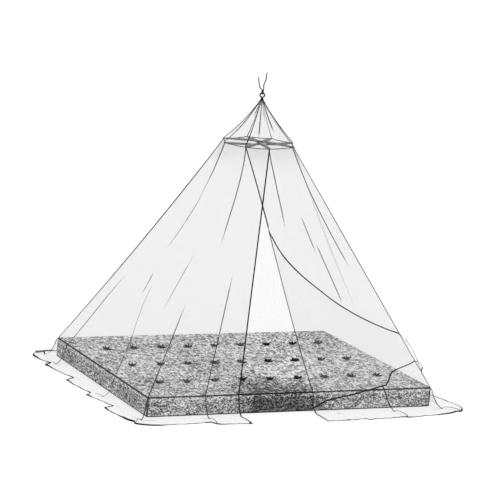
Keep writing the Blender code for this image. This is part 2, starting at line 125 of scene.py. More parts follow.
class Value:
    """A shader socket that takes part in sums, each of which adds a Math node."""

    def __init__(self, tree: "Finish", socket: bpy.types.NodeSocket) -> None:
        """Wrap an output socket of a finish's node tree."""
        self.tree = tree
        self.socket = socket

    def math(self, operation: str, *others: Any) -> "Value":
        """Result of a Math node with this value first."""
        return self.tree.node('ShaderNodeMath', {"operation": operation}, self, *others)

    def __add__(self, other: Any) -> "Value":
        """This plus another."""
        return self.math('ADD', other)

    __radd__ = __add__

    def __mul__(self, other: Any) -> "Value":
        """This times another."""
        return self.math('MULTIPLY', other)

    __rmul__ = __mul__

    def __sub__(self, other: Any) -> "Value":
        """This less another."""
        return self.math('SUBTRACT', other)

    def __rsub__(self, other: Any) -> "Value":
        """Another less this."""
        return self.tree.node('ShaderNodeMath', {"operation": 'SUBTRACT'}, other, self)

    def step(self, low: float, high: float) -> "Value":
        """0 below low, 1 above high, and a smooth step between; falls where low is above high."""
        settings = {"interpolation_type": 'SMOOTHSTEP'}
        return self.tree.node('ShaderNodeMapRange', settings, self, low, high, 0.0, 1.0)


class Finish:
    """A material under construction, whose nodes all come from one method."""

    def __init__(self, name: str) -> None:
        """Start a material with a shader and an output."""
        self.material = bpy.data.materials.new(name)
        self.material.use_nodes = True
        self.nodes = self.material.node_tree.nodes
        self.links = self.material.node_tree.links
        self.shader = self.nodes["Principled BSDF"]

    def put(self, socket: bpy.types.NodeSocket, value: Any) -> None:
        """Link a value to a socket, or set it there.

        Args:
            socket: The input socket.
            value: A Value to link, or what the socket's own field is to hold.
        """
        if isinstance(value, Value):
            self.links.new(value.socket, socket)
        else:
            socket.default_value = value

    def node(self, kind: str, settings: dict[str, Any] | None = None, *inputs: Any,
             output: int | str = 0, **named: Any) -> Value:
        """Add a node.

        Args:
            kind: The node's type.
            settings: Its properties, which are set first; "stops" gives a ramp's colours.
            inputs: Values or links of its sockets, in their order.
            output: Which of its outputs is returned.
            named: Values or links of sockets by name, with _ for a space.

        Returns:
            The chosen output.
        """
        made = self.nodes.new(kind)
        for key, value in (settings or {}).items():
            if key == "stops":
                self.stops(made.color_ramp, value)
            else:
                setattr(made, key, value)
        for socket, value in zip(made.inputs, inputs):
            self.put(socket, value)
        for key, value in named.items():
            self.put(made.inputs[key.replace("_", " ")], value)
        return Value(self, made.outputs[output])

    @staticmethod
    def stops(ramp: bpy.types.ColorRamp, stops: Sequence[tuple[float, tuple]]) -> None:
        """Give a ramp its stops.

        Args:
            ramp: The ramp of a Color Ramp node.
            stops: Positions from 0 to 1 with their colours.
        """
        while len(ramp.elements) < len(stops):
            ramp.elements.new(1.0)
        for element, (position, color) in zip(ramp.elements, stops):
            element.position = position
            element.color = color

    def attribute(self, name: str) -> Value:
        """Number that the mesh holds at each of its points."""
        return self.node('ShaderNodeAttribute', {"attribute_name": name}, output="Fac")

    def place(self) -> Value:
        """Point on the piece, in metres."""
        return self.node('ShaderNodeTexCoord', output="Object")

    def parts(self, vector: Value) -> tuple[Value, Value, Value]:
        """The three parts of a vector."""
        split = self.node('ShaderNodeSeparateXYZ', None, vector)
        return tuple(Value(self, out) for out in split.socket.node.outputs)

    def scaled(self, vector: Value, scale: tuple[float, float, float]) -> Value:
        """A vector stretched along each axis."""
        return self.node('ShaderNodeMapping', {"vector_type": 'POINT'}, vector, Scale=scale)

    def noise(self, vector: Value, scale: float, detail: float = 3.0, rough: float = 0.5) -> Value:
        """Even noise about 0.5."""
        return self.node('ShaderNodeTexNoise', None, Vector=vector, Scale=scale, Detail=detail,
                         Roughness=rough)

    def ramp(self, value: Value, stops: Sequence[tuple[float, tuple]]) -> Value:
        """Colour for a value."""
        return self.node('ShaderNodeValToRGB', {"stops": stops}, value)

    def mix(self, share: Any, first: Any, second: Any) -> Value:
        """Colour between two colours.

        Args:
            share: How much of the second there is, 0 to 1.
            first: The first colour, as a Value or four numbers.
            second: The second.

        Returns:
            The mixed colour.
        """
        colours = {6: first, 7: second}  # the sockets A and B of a mix of colours
        mixed = self.node('ShaderNodeMix', {"data_type": 'RGBA'}, share, output=2)
        for number, value in colours.items():
            self.put(mixed.socket.node.inputs[number], value)
        return mixed

    def bump(self, height: Value, distance: float, strength: float = 1.0) -> None:
        """Drive the shader's normal by a height of that many metres."""
        normal = self.node('ShaderNodeBump', None, Height=height, Distance=distance, Strength=strength)
        self.put(self.shader.inputs["Normal"], normal)

    def dress(self, **sockets: Any) -> Material:
        """Set the shader's sockets.

        Args:
            sockets: Values or links by the sockets' names, with _ for a space.

        Returns:
            The material.
        """
        for key, value in sockets.items():
            self.put(self.shader.inputs[key.replace("_", " ")], value)
        return self.material


def grey(value: float) -> tuple[float, float, float, float]:
    """An even grey."""
    return (value, value, value, 1.0)


@dataclass(frozen=True)
class NetFinish:
    """Fine hexagonal mesh of grey-white yarn, with dark sewn edges, painted shade lines along its folds and
    ridges, and a bunched gather that is dark, partly painted shade.
    """

    name: str = "Sheer net"
    pitch: float = 0.0026  # between two holes
    third_turn: tuple[float, float] = (-0.5, 0.866)  # its cosine and sine
    web: tuple[float, float] = (1.2, -0.6)  # where a hole ends and its yarn begins
    yarn: float = 0.30
    thread: float = 0.012  # the sewn edges, and the painted shade of the folds
    veil: float = 0.116  # how much of a hole's surroundings the yarn covers
    shade_line_half_width: float = 0.0038
    edge_width: float = 0.0086
    soft: float = 0.0010  # over which a line's side fades
    opacity: float = 0.97
    bunched: float = 3.6  # gather above which the bunched net is dark: denser cloth, with painted shade between its pleats

    def make(self) -> Material:
        """Build the material; the mesh holds the attributes line, edge and gather, and how dark each line's
        painted shade is.

        Returns:
            The material.
        """
        net = Finish(self.name)
        across, down, _ = net.parts(net.node('ShaderNodeUVMap', {"uv_map": "cloth"}))
        turns = tau / self.pitch
        first = (across * turns).math('COSINE')
        aslant, upright = across * (self.third_turn[0] * turns), down * (self.third_turn[1] * turns)
        second, third = (aslant + upright).math('COSINE'), (aslant - upright).math('COSINE')
        web = (first + second + third).step(*self.web)
        gather = net.attribute("gather")
        # fold is where a painted shade line lies; hem is the sewn edges
        fold, hem = (net.attribute(name).step(width + self.soft, width - self.soft)
                     for name, width in (("line", self.shade_line_half_width), ("edge", self.edge_width)))
        bunch = gather.step(self.bunched, self.bunched + 1.0)
        # dark holds the painted shade along folds and ridges, the sewn edges' own dark thread, and the
        # bunched gather, partly painted shade
        dark = (fold * net.attribute("shade")).math('MAXIMUM', hem).math('MAXIMUM', bunch)
        cover = web * self.veil * (gather + 1.0)
        alpha = cover.math('MAXIMUM', dark * self.opacity)
        color = net.mix(dark, grey(self.yarn), grey(self.thread))
        net.bump(web, 0.0002, 0.4)
        return net.dress(Base_Color=color, Alpha=alpha, Roughness=0.9, Specular_IOR_Level=0.1)


@dataclass(frozen=True)
class TickingFinish:
    """Woven ticking, mottled in greys like soft pencil, with a painted highlight on its top and a painted
    shadow by the door.
    """

    name: str
    light: float
    dark: float
    soiled_middle: tuple[float, float] = (-0.07, -0.84)  # of the painted shadow by the door, across and back
    shadow_reach: float = 0.40
    top: float = 0.104  # the height above which the cover's top begins; the top is painted lighter, a painted highlight
    speck_scale: tuple[float, float, float] = (78.0, 36.0, 104.0)
    streak_scale: tuple[float, float, float] = (20.0, 18.0, 100.0)
    weave_scale: tuple[float, float, float] = (700.0, 1400.0, 1400.0)

    def make(self) -> Material:
        """Build the material.

        Returns:
            The material.
        """
        cloth = Finish(self.name)
        place = cloth.place()
        across, back, height = cloth.parts(place)
        broad = cloth.noise(place, 3.4, 2.0)
        streak = cloth.noise(cloth.scaled(place, self.streak_scale), 1.0, 3.0, 0.6)
        speck = cloth.noise(cloth.scaled(place, self.speck_scale), 1.0, 5.0, 0.75)
        # a painted shadow darkens the front of the cover by the door
        away = (across - self.soiled_middle[0]).math('ABSOLUTE')
        painted_shadow = away.step(self.shadow_reach, 0.3 * self.shadow_reach) * back.step(-0.35, -0.72)
        tone = speck.step(0.45, 0.56) * 0.62 + streak.step(0.40, 0.60) * 0.20
        # the top's lighter tone is a painted highlight
        tone = tone + broad.step(0.3, 0.7) * 0.18 + height.step(self.top - 0.006, self.top) * 0.18
        tone = tone - painted_shadow * 0.36 - 0.05
        color = cloth.ramp(tone, ((0.08, grey(self.dark)), (0.46, grey(0.25 * self.light)),
                                  (0.92, grey(self.light))))
        weave = cloth.noise(cloth.scaled(place, self.weave_scale), 1.0, 1.0)
        cloth.bump(weave * 0.5 + speck, 0.0006, 0.5)
        return cloth.dress(Base_Color=color, Roughness=0.93, Specular_IOR_Level=0.2)


@dataclass(frozen=True)
class ThreadFinish:
    """Dark twisted thread, cord or tape."""

    name: str
    dark: float
    light: float
    scale: float = 900.0

    def make(self) -> Material:
        """Build the material.

        Returns:
            The material.
        """
        yarn = Finish(self.name)
        fibre = yarn.noise(yarn.place(), self.scale, 3.0, 0.6)
        color = yarn.mix(fibre.step(0.3, 0.75), grey(self.dark), grey(self.light))
        yarn.bump(fibre, 0.0003, 0.6)
        return yarn.dress(Base_Color=color, Roughness=0.88, Specular_IOR_Level=0.25)


@dataclass(frozen=True)
class SlatFinish:
    """Grey-stained wood, darker along its long edges and at its points."""

    name: str = "Stained slat"
    light: float = 0.38
    dark: float = 0.22
    edge: float = 0.008
    edge_width: float = 0.0034
    tip: float = 0.238  # distance from the pin where the dark point begins
    tip_fade: tuple[float, float] = (-0.004, 0.002)
    grain: tuple[float, float, float] = (22.0, 900.0, 300.0)  # its scale along, across and down

    def make(self) -> Material:
        """Build the material; the mesh holds the attributes along and rim.

        Returns:
            The material.
        """
        wood = Finish(self.name)
        along, rim = wood.attribute("along"), wood.attribute("rim")
        stretched = (value * scale for value, scale in zip((along, rim, rim), self.grain))
        grain = wood.noise(wood.node('ShaderNodeCombineXYZ', None, *stretched), 1.0, 4.0, 0.6)
        fleck = wood.noise(wood.place(), 420.0, 2.0)
        body = wood.mix(grain.step(0.3, 0.7), grey(self.dark), grey(self.light))
        # darker in a band along the long edges
        worn = rim.step(1.3 * self.edge_width, 0.7 * self.edge_width) * (0.75 + fleck * 0.5)
        point = along.math('ABSOLUTE').step(*(self.tip + fade for fade in self.tip_fade))
        color = wood.mix(worn.math('MAXIMUM', point).math('MINIMUM', 1.0), body, grey(self.edge))
        wood.bump(grain, 0.0004, 0.5)
        return wood.dress(Base_Color=color, Roughness=0.55 + grain * 0.2)


@dataclass(frozen=True)
class SteelFinish:
    """Dark steel, worn brighter in patches."""

    name: str = "Dark steel"
    dark: float = 0.008
    worn: float = 0.05

    def make(self) -> Material:
        """Build the material.

        Returns:
            The material.
        """
        steel = Finish(self.name)
        place = steel.place()
        patch = steel.noise(place, 160.0, 4.0, 0.65)
        scratch = steel.noise(steel.scaled(place, (2400.0, 2400.0, 500.0)), 1.0, 2.0)
        worn = patch.step(0.48, 0.72)
        color = steel.mix(worn, grey(self.dark), grey(self.worn))
        steel.bump(scratch * 0.4 + patch, 0.00025, 0.5)
        return steel.dress(Base_Color=color, Metallic=0.3, Roughness=0.65 - worn * 0.2,
                           Specular_IOR_Level=0.3)


# Pieces

@dataclass
class Kit:
    """What every piece needs: how it is linked, dressed, shaped by operators and reported."""

    made: list[Piece] = field(default_factory=list)

    def add(self, name: str, mesh: bpy.types.Mesh, finish: Material) -> Piece:
        """Link a mesh as a named object with one finish.

        Args:
            name: The object's name.
            mesh: Its mesh.
            finish: Its material.

        Returns:
            The object.
        """
        piece = bpy.data.objects.new(name, mesh)
        bpy.context.scene.collection.objects.link(piece)
        self.dress(piece, name, finish)
        return piece

    @staticmethod
    def dress(piece: Piece, name: str, finish: Material) -> None:
        """Name a piece and give it one finish.

        Args:
            piece: The object.
            name: The name that it and its mesh take.
            finish: Its only material.
        """
        piece.name = piece.data.name = name
        piece.data.materials.clear()
        piece.data.materials.append(finish)

    def ready(self, piece: Piece, slot: Slot, *nodes: str) -> None:
        """Let a finished piece ride on the body and stand for its nodes.

        Args:
            piece: The finished piece.
            slot: What it is made of; not used.
            nodes: The frame's nodes that it replaces.
        """
        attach(piece, BODY)
        if nodes:
            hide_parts(*nodes)
        self.made.append(piece)
        log.info("%s: %d faces", piece.name, len(piece.data.polygons))

    @staticmethod
    def only(piece: Piece) -> None:
        """Make one object the selected and active one."""
        for other in list(bpy.context.selected_objects):
            other.select_set(False)
        piece.select_set(True)
        bpy.context.view_layer.objects.active = piece

    @contextmanager
    def editing(self, piece: Piece) -> Iterator[None]:
        """Edit mode for one object, with its whole mesh selected."""
        self.only(piece)
        bpy.ops.object.mode_set(mode='EDIT')
        bpy.ops.mesh.select_all(action='SELECT')
        yield
        bpy.ops.object.mode_set(mode='OBJECT')

    @staticmethod
    def pick(piece: Piece, wanted: Callable[[Vector], bool]) -> None:
        """Select points of the mesh in edit mode.

        Args:
            piece: The object in edit mode.
            wanted: Tells for a point's place whether it is selected.
        """
        bm = bmesh.from_edit_mesh(piece.data)
        bm.select_mode = {'VERT'}
        for vert in bm.verts:
            vert.select = wanted(vert.co)
        bm.select_flush_mode()
        bmesh.update_edit_mesh(piece.data)

    def apply(self, piece: Piece) -> Piece:
        """Apply all of an object's modifiers and its place."""
        self.only(piece)
        for modifier in list(piece.modifiers):
            bpy.ops.object.modifier_apply(modifier=modifier.name)
        bpy.ops.object.transform_apply(location=True, rotation=True, scale=True)
        return piece

    def join(self, pieces: Sequence[Piece], name: str) -> Piece:
        """Join objects into the first of them.

        Args:
            pieces: The objects, each with its place in its mesh.
            name: The name of the joined object.

        Returns:
            The first object, which holds them all.
        """
        self.only(pieces[0])
        for other in pieces[1:]:
            other.select_set(True)
        bpy.ops.object.join()
        pieces[0].name = pieces[0].data.name = name
        return pieces[0]

    def repeat(self, piece: Piece, places: Sequence[Matrix], name: str) -> Piece:
        """Copy a piece to several places and join the copies.

        Args:
            piece: The piece, modelled at the origin.
            places: Place and turn of each copy; the piece itself takes the first.
            name: The name of the joined object.

        Returns:
            The joined object.
        """
        copies = [piece]
        for number in range(1, len(places)):
            copies.append(bpy.data.objects.new(f"{piece.name}_{number}", piece.data.copy()))
            bpy.context.scene.collection.objects.link(copies[-1])
        for copy, place in zip(copies, places):
            copy.data.transform(place)
        return self.join(copies, name)

    @staticmethod
    def smooth(piece: Piece, angle: float = 180.0) -> None:
        """Shade a piece smooth, but for edges sharper than an angle in degrees."""
        piece.data.shade_smooth()
        if angle < 180:
            piece.data.set_sharp_from_angle(angle=radians(angle))

    def sweep(self, name: str, path: Sequence[Vector], section: Section, finish: Material,
              closed: bool = False, upright: bool = False) -> Piece:
        """A tube along a path.

        Args:
            name: The object's name.
            path: The points that it follows.
            section: Gives the section's points, across and up, at a distance along the path.
            finish: Its material.
            closed: Whether its end joins its start.
            upright: Whether the section stands level instead of turning with the path.

        Returns:
            The object.
        """
        bm = bmesh.new()
        count = len(path)
        rings, gone, up = [], 0.0, None
        for index, point in enumerate(path):
            before = path[index - 1] if index or closed else point
            after = path[(index + 1) % count] if index < count - 1 or closed else point
            along = (after - before).normalized()
            if up is None or upright:
                up = Vector((0, 0, 1)) if abs(along.z) < 0.9 else Vector((0, 1, 0))
            side = along.cross(up).normalized()
            up = side.cross(along).normalized()
            rings.append([bm.verts.new(point + side * across + up * high) for across, high in section(gone)])
            if index < count - 1:
                gone += (path[index + 1] - point).length
        pairs = list(zip(rings, rings[1:])) + ([(rings[-1], rings[0])] if closed else [])
        for near, far in pairs:
            for corner in range(len(near)):
                following = (corner + 1) % len(near)
                bm.faces.new((near[corner], near[following], far[following], far[corner]))
        if not closed:
            bm.faces.new(rings[0][::-1])
            bm.faces.new(rings[-1])
        bmesh.ops.recalc_face_normals(bm, faces=bm.faces)
        mesh = bpy.data.meshes.new(name)
        bm.to_mesh(mesh)
        bm.free()
        made = self.add(name, mesh, finish)
        self.smooth(made, 60)
        return made


def round_section(radius: float, sides: int, strands: int, lay: float, depth: float) -> Section:
    """Section of a laid cord, whose strands turn once in each lay.

    Args:
        radius: The cord's radius.
        sides: How many points go round it.
        strands: How many strands show on it.
        lay: The length in which a strand goes once round.
        depth: How far the grooves go in, as a share of the radius.

    Returns:
        A function of the distance along the cord.
    """
    def section(gone: float) -> Points:
        """Points of the section at a distance along the cord."""
        points = []
        for number in range(sides):
            turn = tau * number / sides
            groove = depth * (1 - abs(cos(0.5 * strands * (turn - tau * gone / lay))))
            points.append((radius * (1 - groove) * cos(turn), radius * (1 - groove) * sin(turn)))
        return points
    return section


@dataclass(frozen=True)
class Mark:
    """What the net's material reads at one point of the cloth."""

    line: float  # distance to the nearest painted shade line, in widths of a common line
    shade: float  # how dark the painted shade of that line is
    edge: float  # distance to the nearest sewn edge
    gather: float  # how much closer than flat its mesh lies


@dataclass
class Net:
    """The cloth of the canopy: what the wall and the crown share."""

    thickness: float = 0.0009
    hem_thickness: float = 0.0016
    hem_fade: tuple[float, float] = (0.014, 0.009)  # from the edge, where the hem's thickness comes in
    kit: Kit = field(default_factory=Kit)

    def cloth(self, name: str, points: dict[Spot, Vector], faces: Iterable[Sequence[Spot]],
              marks: dict[Spot, Mark], flat: dict[Spot, tuple[float, float]],
              finish: Material, offset: float) -> Piece:
        """A closed sheet of net from a grid of points.

        Args:
            name: The object's name.
            points: The point at each column and row; a shared point is the same vector there.
            faces: Corners of each face, as column and row, with the face pointing out.
            marks: The values of the attributes at each point.
            flat: Each point's place on the flat cloth.
            finish: Its material.
            offset: -1 to grow its thickness inwards from the surface, 1 outwards.

        Returns:
            The object.
        """
        bm = bmesh.new()
        cut = bm.loops.layers.uv.new("cloth")
        layers = {mark.name: bm.verts.layers.float.new(mark.name) for mark in fields(Mark)}
        weights = bm.verts.layers.deform.new()
        made: dict[int, bmesh.types.BMVert] = {}
        verts: dict[Spot, bmesh.types.BMVert] = {}
        for spot, point in points.items():
            if id(point) not in made:
                made[id(point)] = bm.verts.new(point)
            vert = verts[spot] = made[id(point)]
            for name_of_mark, layer in layers.items():
                vert[layer] = getattr(marks[spot], name_of_mark)
            hem = smooth_step(*self.hem_fade, marks[spot].edge)
            thick = self.thickness + (self.hem_thickness - self.thickness) * hem
            vert[weights][0] = thick / self.hem_thickness
        for corners in faces:
            spots = {verts[spot]: spot for spot in corners}
            if len(spots) > 2:
                face = bm.faces.new(list(spots))
                for loop in face.loops:
                    loop[cut].uv = flat[spots[loop.vert]]
        mesh = bpy.data.meshes.new(name)
        bm.to_mesh(mesh)
        bm.free()
        piece = self.kit.add(name, mesh, finish)
        piece.vertex_groups.new(name="thick")
        solid = piece.modifiers.new("Thickness", 'SOLIDIFY')
        solid.thickness = self.hem_thickness
        solid.offset = offset
        solid.vertex_group = "thick"
        self.kit.apply(piece)
        self.kit.smooth(piece)
        return piece

    @staticmethod
    def measure(points: dict[Spot, Vector], columns: Sequence[int],
                rows: Sequence[int]) -> tuple[dict[Spot, float], dict[Spot, float]]:
        """Distances along a grid of points.

        Args:
            points: The point at each column and row.
            columns: The columns, from the one that distances along a row start at.
            rows: The rows, from the one that distances along a column start at.

        Returns:
            The distance of each point along its row, and along its column.
        """
        along_rows = [[(column, row) for column in columns] for row in rows]
        along_columns = [[(column, row) for row in rows] for column in columns]
        found: list[dict[Spot, float]] = []
        for runs in (along_rows, along_columns):
            found.append({})
            for run in runs:
                gone = 0.0
                for before, spot in zip(run[:1] + run, run):
                    gone += (points[spot] - points[before]).length
                    found[-1][spot] = gone
        return found[0], found[1]


@dataclass(frozen=True)
class Line:
    """One line of the wall, from a slat's end to the mattress's edge and out to the hem."""

    run: float  # where it meets the mattress, along its outline from the front-left corner
    lean: float  # how far it hangs inside a straight line at mid-height
    reach: float  # how far its hem lies out on the floor


@dataclass(frozen=True)
class Crease:
    """A crease of the wall, which runs out on the floor as a pleat of the hem."""

    place: float  # number of its line, or a place between two lines
    start: float  # where it starts, from 0 at the rim to 1 at the mattress's edge
    height: float  # how far it stands out at mid-height
    pleat: float  # size of its pleat on the floor, 0 to 1
    notch: float  # share of its reach that the hem draws back, on the pleat's door-edge side


@dataclass(frozen=True)
class PaintedShade:
    """Where a fold or ridge is painted with a dark line of shade: shares down the wall, 1 at the edge and 2
    at the hem.
    """

    place: float  # its column's number
    start: float
    end: float
    dark: float  # how dark it is in its middle
    fade: float  # the share over which it fades at both ends
    width: float = 1.0
    route: Curve = ()  # share, and the place to which its column leans there


@dataclass(frozen=True)
class Side:
    """A side of the mattress, walked from its front-left corner by the left side."""

    length: float
    depth: float  # from the mattress's middle to this side
    along: Vector
    out: Vector


@dataclass
class Wall(Net):
    """The wall of net: one strip from the door's edge round to its fold, with the door flap."""

    mattress: tuple[Vector, Vector] = field(default_factory=lambda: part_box("mattress"))
    rim_radius: float = 0.248
    rim_height: float = 1.60
    rim_scallop: float = 0.008
    rim_droop: float = 0.003
    wall_seat: float = 0.0034  # below the rim cord's middle
    tip_turns: tuple[float, ...] = (0, 45, 83, 135, 180, 225, 263, 315)
    first_tip: int = 6  # the first line's slat end
    edge: float = 0.012  # radius of the mattress's rounded edges
    clearance: float = 0.0024
    edge_turn: float = radians(27)
    overlap_inset: float = 0.0025
    hollow: float = 0.030
    pleat_push: float = 0.020
    pleat_rise: float = 0.014
    per_line: int = 24  # columns between two lines
    corner_steps: int = 8  # more columns on each side of a corner of the mattress
    fold_shape: tuple[float, ...] = (1.0, 0.50, 0.17, 0.0)  # a crease's height, column by column

    flap_start: float = 0.33  # share of the wall where the fold starts
    flap_foot: float = 0.026  # height where it ends
    flap_width: float = 0.84
    flap_spread: float = 1.6
    flap_rise: float = 0.41
    flap_bend: float = 0.006
    flap_puff: float = 0.016
    flap_fall: float = 0.9
    flap_corner: float = 0.085  # how much further its corner goes round the ridge
    flap_hem: Curve = (  # share of its width, and rise past a straight hem
        (0.0, 0.0), (0.1, 0.004), (0.29, -0.035), (0.46, -0.068), (0.57, -0.090), (0.62, -0.032),
        (0.75, -0.042), (0.90, -0.046), (0.955, -0.014), (1.0, 0.0),
    )
    flap_columns: int = 48
    flap_waves: tuple[float, float, float] = (0.003, 3.3, 0.8)  # height, and turns across and down
    flap_side: int = 7  # the line that it reaches round, and on whose side it lies
    flap_line_step: int = 3  # how many columns apart are the wall's lines that it lies on
    flap_gather: float = -0.8  # its mesh hangs open
    double_gather: float = -0.5  # and where the door's two panels lie over each other
    double_soft: float = 1.5  # degrees
    border_growth: float = 0.15  # how much wider the flap's border looks at its foot
    bend_columns: int = 8

    lines: tuple[Line, ...] = (
        Line(-0.625, 0.000, 0.235),
        Line(0.00, 0.026, 0.190),
        Line(0.58, 0.030, 0.175),
        Line(1.60, 0.028, 0.165),
        Line(2.60, 0.036, 0.170),
        Line(3.60, 0.036, 0.195),
        Line(4.40, 0.032, 0.165),
        Line(5.20, 0.004, 0.225),
        Line(5.76, 0.014, 0.250),
        Line(6.06, 0.030, 0.245),
    )
    creases: tuple[Crease, ...] = (
        Crease(0.375, 0.45, 0.016, 1.0, 0.12),
        Crease(1.000, 0.05, 0.010, 1.0, 0.22),
        Crease(1.375, 0.40, 0.006, 0.6, 0.20),
        Crease(2.000, 0.55, 0.012, 1.0, 0.45),
        Crease(2.375, 0.80, 0.006, 0.6, 0.25),
        Crease(2.750, 0.55, 0.018, 1.0, 0.45),
        Crease(3.000, 0.05, 0.006, 1.0, 0.40),
        Crease(3.375, 0.50, 0.014, 0.7, 0.15),
        Crease(3.750, 0.85, 0.000, 0.6, 0.30),
        Crease(4.000, 0.05, 0.016, 0.9, 0.20),
        Crease(4.500, 0.45, 0.018, 0.8, 0.35),
        Crease(5.000, 0.05, 0.008, 1.0, 0.25),
        Crease(5.375, 0.60, 0.014, 0.7, 0.20),
        Crease(6.000, 0.05, 0.016, 0.9, 0.35),
        Crease(6.500, 0.40, 0.016, 0.7, 0.25),
        Crease(7.000, 0.05, 0.004, 1.0, 0.30),
        Crease(7.500, 0.60, 0.010, 0.9, 0.12),
        Crease(8.000, 0.05, 0.010, 0.4, 0.06),
        Crease(8.500, 0.90, 0.000, 0.8, 0.10),
    )
    folds: tuple[Crease, ...] = (  # slight folds of the hanging cloth, which end above the floor
        Crease(0.750, 0.00, 0.009, 0.0, 0.0),
        Crease(1.500, 0.30, 0.012, 0.0, 0.0),
        Crease(7.125, 0.05, 0.004, 0.0, 0.0),
        Crease(7.625, 0.30, 0.010, 0.0, 0.0),
        Crease(8.375, 0.05, 0.008, 0.0, 0.0),
    )
    # dark lines of painted shade along the wall's folds and ridges
    painted_shades: tuple[PaintedShade, ...] = (
        PaintedShade(0.375, 0.50, 2.10, 0.95, 0.12, 0.8),
        PaintedShade(0.750, -0.1, 0.42, 0.95, 0.12, 0.8,
            ((0.0, 0.98), (0.03, 0.90), (0.07, 0.84), (0.13, 0.79), (0.2, 0.76), (1.0, 0.75))),
        PaintedShade(1.000, 0.62, 2.10, 0.95, 0.10, 0.8),
        PaintedShade(1.500, 0.44, 0.72, 0.90, 0.10, 0.7,
            ((0.0, 1.5), (0.15, 1.42), (0.3, 1.37), (0.38, 1.38), (0.46, 1.44), (0.57, 1.54), (0.68, 1.61),
             (0.8, 1.62), (1.0, 1.6))),
        PaintedShade(2.000, 0.635, 1.70, 0.95, 0.03, 0.8,
            ((0.0, 1.8), (0.3, 1.9), (0.45, 2.03), (0.56, 2.16), (0.64, 2.20), (0.72, 2.14), (0.84, 2.01),
             (1.0, 1.94), (1.2, 1.89), (1.5, 1.91), (2.0, 2.0))),
        PaintedShade(2.375, -0.1, 0.50, 0.95, 0.08, 1.2,
            ((0.0, 1.97), (0.12, 1.98), (0.2, 2.03), (0.26, 2.12), (0.32, 2.22), (0.4, 2.34), (0.47, 2.42),
             (0.53, 2.42), (0.6, 2.38), (0.67, 2.33), (0.85, 2.33), (1.0, 2.375))),
        PaintedShade(2.375, 0.59, 0.69, 0.95, 0.02, 0.8),
        PaintedShade(2.750, 0.62, 1.95, 0.95, 0.14, 1.1,
            ((0.0, 2.7), (0.6, 2.82), (0.77, 2.82), (1.2, 2.79), (2.0, 2.77))),
        PaintedShade(3.000, -0.1, 2.10, 1.00, 0.05, 2.2),
        PaintedShade(7.000, -0.1, 2.10, 1.00, 0.05, 1.5),
        PaintedShade(7.125, -0.1, 0.50, 0.95, 0.06, 0.8,
            ((0.0, 7.06), (0.05, 7.13), (0.1, 7.19), (0.17, 7.23), (0.25, 7.235), (0.35, 7.22), (0.45, 7.20),
             (1.0, 7.1), (2.0, 7.125))),
        PaintedShade(7.500, 0.96, 2.10, 0.95, 0.04, 0.9,
            ((0.0, 7.5), (0.8, 7.56), (1.0, 7.62), (1.36, 7.55), (2.0, 7.5))),
        PaintedShade(7.625, 0.395, 0.64, 0.95, 0.03, 0.8,
            ((0.0, 7.55), (0.40, 7.63), (0.6, 7.62), (0.8, 7.64), (1.0, 7.71), (2.0, 7.66))),
        PaintedShade(7.750, 0.28, 0.435, 0.95, 0.03, 0.8,
            ((0.0, 7.78), (0.30, 7.75), (0.43, 7.72), (0.8, 7.75), (1.0, 7.80), (2.0, 7.78))),
        PaintedShade(8.375, -0.1, 0.36, 0.95, 0.12, 0.8,
            ((0.0, 8.04), (0.06, 8.13), (0.17, 8.25), (0.33, 8.37), (1.0, 8.375))),
        PaintedShade(9.000, -0.1, 2.10, 1.00, 0.05, 0.9),
    )
    rim_gather: float = 0.8  # how much closer the mesh lies at the rim, and down to where
    rim_gather_end: float = 0.12
    gather_depth: float = 0.0016
    gathers_per_line: int = 6
    stir: float = 0.0022  # how far the hanging cloth stirs, and its waves
    stir_waves: Waves = ((2.7, 0.1, 1.0), (5.3, 0.4, 0.6), (11.0, 0.7, 0.3))
    skirt_stir: float = 0.004
    skirt_waves: Waves = ((4.3, 0.2, 0.5), (9.1, 0.6, 0.5))
    hem_sway: float = 0.006
    hem_waves: Waves = ((3.1, 0.3, 0.5), (7.7, 0.8, 0.5))
    swell: float = 0.0035
    swell_waves: Waves = ((5.1, 0.0, 0.6), (8.7, 0.35, 0.4))
    rows_above_flap: int = 15
    rows_below_start: int = 28
    skirt_rows: Curve = (  # height over the floor, and out from the side
        (0.110, 0.008), (0.098, 0.0092), (0.082, 0.0125), (0.065, 0.016), (0.050, 0.021), (0.037, 0.0265),
        (0.026, 0.032), (0.017, 0.038), (0.0105, 0.045), (0.006, 0.052), (0.0027, 0.060), (0.001, 0.068),
    )
    floor_shares: tuple[float, ...] = (0.10, 0.21, 0.33, 0.45, 0.57, 0.69, 0.80, 0.89, 0.95)
    hem_inset: float = 0.014  # the last row before the hem's edge
    hem_wide: float = 1.5  # how much wider the hem's border is than the door edge's

    def __post_init__(self) -> None:
        """Work out what follows from the sizes."""
        low, high = self.mattress
        length, width = high.x - low.x, high.y - low.y
        self.height = high.z
        right, back = Vector((1, 0, 0)), Vector((0, 1, 0))
        self.sides = (Side(width, length / 2, back, -right), Side(length, width / 2, right, back),
                      Side(width, length / 2, -back, right), Side(length, width / 2, -right, -back))
        self.outline_length = 2 * (length + width)
        grown = self.edge + self.clearance
        self.edge_out = grown * cos(self.edge_turn) - self.edge
        self.edge_drop = self.edge - grown * sin(self.edge_turn)
        self.corners = (0.0, width, width + length, 2 * width + length)
        still = [number for number, line in enumerate(self.lines)
                 if min(abs(line.run - corner) for corner in self.corners) < self.edge]
        self.leaning = [shade for shade in self.painted_shades if shade.route]
        self.upright = [0.0, *map(float, still), float(len(self.lines) - 1)]

    def tip_way(self, number: int) -> Vector:
        """Way out along a slat's end."""
        turn = radians(self.tip_turns[number % len(self.tip_turns)])
        return Vector((cos(turn), sin(turn), 0))

